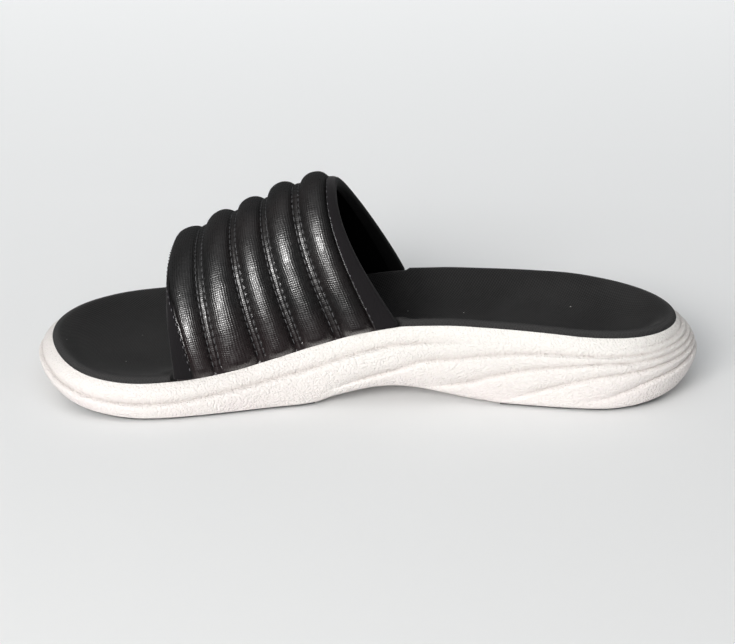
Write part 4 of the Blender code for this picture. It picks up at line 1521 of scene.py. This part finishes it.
@dataclass
class Studio:
    """A pale floor, soft studio light and the camera at the photograph's angle."""

    aim: Vector = field(default_factory=lambda: Vector((0.0003, -0.0087, 0.025)))
    elevation: float = math.radians(23)
    distance: float = 0.850
    focal_px: float = 2068.3
    image_width: int = 735
    sensor: float = 36.0
    floor_size: float = 8.0
    near_colour: tuple = (0.745, 0.75, 0.75, 1.0)
    far_colour: tuple = (0.95, 0.96, 0.96, 1.0)
    near_y: float = -0.35
    far_y: float = 0.65
    far_glow: float = 0.24
    air_colour: tuple = (0.96, 0.98, 1.0, 1.0)
    air: float = 0.39
    air_mirrored: float = 0.10

    def build(self) -> None:
        """Place the floor, the lights, the world and the camera."""
        bpy.context.scene.view_settings.view_transform = "Standard"
        self.floor()
        self.lights()
        self.camera()

    def floor(self) -> None:
        """Lay the pale floor, paler towards the back, where it also glows: painted light."""
        bm = bmesh.new()
        bmesh.ops.create_grid(bm, x_segments=1, y_segments=1, size=self.floor_size / 2)
        mesh = bpy.data.meshes.new("studio_floor")
        bm.to_mesh(mesh)
        bm.free()
        material, graph, shader, coords = start_material("floor_finish")
        away = graph.apart(coords["Object"])[1]
        far = graph.ramp(away, self.near_y, self.far_y)
        graph.fill(shader, {
            "Base Color": graph.mix(far, self.near_colour, self.far_colour),
            # The far floor glows though it is no lamp: painted light.
            "Emission Strength": graph.ramp(away, 0.0, self.far_y, 0.0, self.far_glow),
            "Roughness": 0.9,
            "Specular IOR Level": 0.1})
        mesh.materials.append(material)
        floor = place("studio_floor", mesh)
        floor.visible_glossy = False

    def hang(self, box: SoftBox) -> None:
        """Hang a soft box that looks at the sandal."""
        light = bpy.data.lights.new(box.name, "AREA")
        light.shape = "RECTANGLE"
        light.size, light.size_y = box.size
        light.energy = box.power
        light.color = box.colour
        lamp = place(box.name, light)
        lamp.location = box.place
        lamp.visible_glossy = box.shines
        lamp.visible_diffuse = box.lights
        lamp.rotation_euler = (self.aim - Vector(box.place)).to_track_quat("-Z", "Y").to_euler()

    def lights(self) -> None:
        """Hang the soft boxes and set the world's light."""
        for box in SOFT_BOXES:
            self.hang(box)
        world = bpy.data.worlds.new("studio_air")
        world.use_nodes = True
        graph = Graph(world.node_tree)
        mirrored = graph.node("ShaderNodeLightPath").outputs["Is Glossy Ray"]
        graph.fill(world.node_tree.nodes["Background"], {
            "Color": self.air_colour,
            "Strength": graph.ramp(mirrored, 0.0, 1.0, self.air, self.air_mirrored)})
        bpy.context.scene.world = world

    def camera(self) -> None:
        """Set the camera at the photograph's angle."""
        data = bpy.data.cameras.new("photo_camera")
        data.sensor_width = self.sensor
        data.lens = self.focal_px / self.image_width * self.sensor
        data.clip_start = 0.05
        camera = place("photo_camera", data)
        away = Vector((0, -math.cos(self.elevation), math.sin(self.elevation)))
        camera.location = self.aim + away * self.distance
        camera.rotation_euler = (math.pi / 2 - self.elevation, 0, 0)
        bpy.context.scene.camera = camera


# The whole sandal


def frame_shift(last: Last) -> Vector:
    """Return the move from the last's own plan, toe tip at X 0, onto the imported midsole."""
    loop = last.loop(400)
    away = np.max([last.bulge(loop.x, np.full_like(loop.x, s)) for s in (0.3, 0.42, 0.5)], axis=0)
    x, y = loop.out(away)
    low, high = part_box("midsole")
    return Vector(((low[0] + high[0] - x.min() - x.max()) / 2,
                   (low[1] + high[1] - y.min() - y.max()) / 2, 0.0))


LAST = Last()
FRAME_SHIFT = frame_shift(LAST)
FINISHES = (
    FoamFinish(),
    LeatherFinish(),
    RubberFinish(),
    ClothFinish("footbed_twill", (0.0030, 0.0030, 0.0032, 1.0), (0.0290, 0.0285, 0.0285, 1.0),
                balance=0.6, sheen=0.04, gloss=0.12, speck_size=0.035),
    ClothFinish("binding_nap", (0.0046, 0.0038, 0.0046, 1.0), (0.0090, 0.0078, 0.0090, 1.0),
                roughness=0.92, pitch=0.0004, depth=0.00003, nap=0.00010, sheen=0.08, gloss=0.10),
    # The lining's own black is darkened further, nearly to nothing: painted shade inside the band.
    ClothFinish("lining_knit", (0.0010, 0.0010, 0.0011, 1.0), (0.0022, 0.0022, 0.0023, 1.0),
                pitch=0.0007, depth=0.00005, sheen=0.0, gloss=0.05),
    ThreadFinish("valley_thread_finish", (0.030, 0.030, 0.032, 1.0), (0.075, 0.075, 0.080, 1.0)),
    ThreadFinish("binding_thread_finish", (0.035, 0.033, 0.038, 1.0), (0.095, 0.090, 0.100, 1.0)),
)


def main() -> None:
    """Build and dress the sandal, then the studio."""
    logging.basicConfig(level=logging.INFO, format="%(message)s")
    groups = Groups()
    foam, leather, rubber, twill, tape, lining, dark_thread, grey_thread = (
        finish.material(groups) for finish in FINISHES)
    reach = BandReach(LAST)
    form = BandForm(LAST, reach)
    Midsole(LAST).build(foam)
    Outsole(LAST).build(rubber)
    Footbed(LAST, reach).build(twill)
    band = Band(form)
    band.build_cover(leather)
    band.build_lining(lining)
    band.build_thread(dark_thread)
    for binding in (Binding(form, "front_edge", "front_seam", "front_binding"),
                    Binding(form, "rear_edge", "rear_seam", "rear_binding")):
        binding.build(tape)
        binding.build_thread(band.tape_pitch, grey_thread)
    Studio().build()


if __name__ == "__main__":
    main()
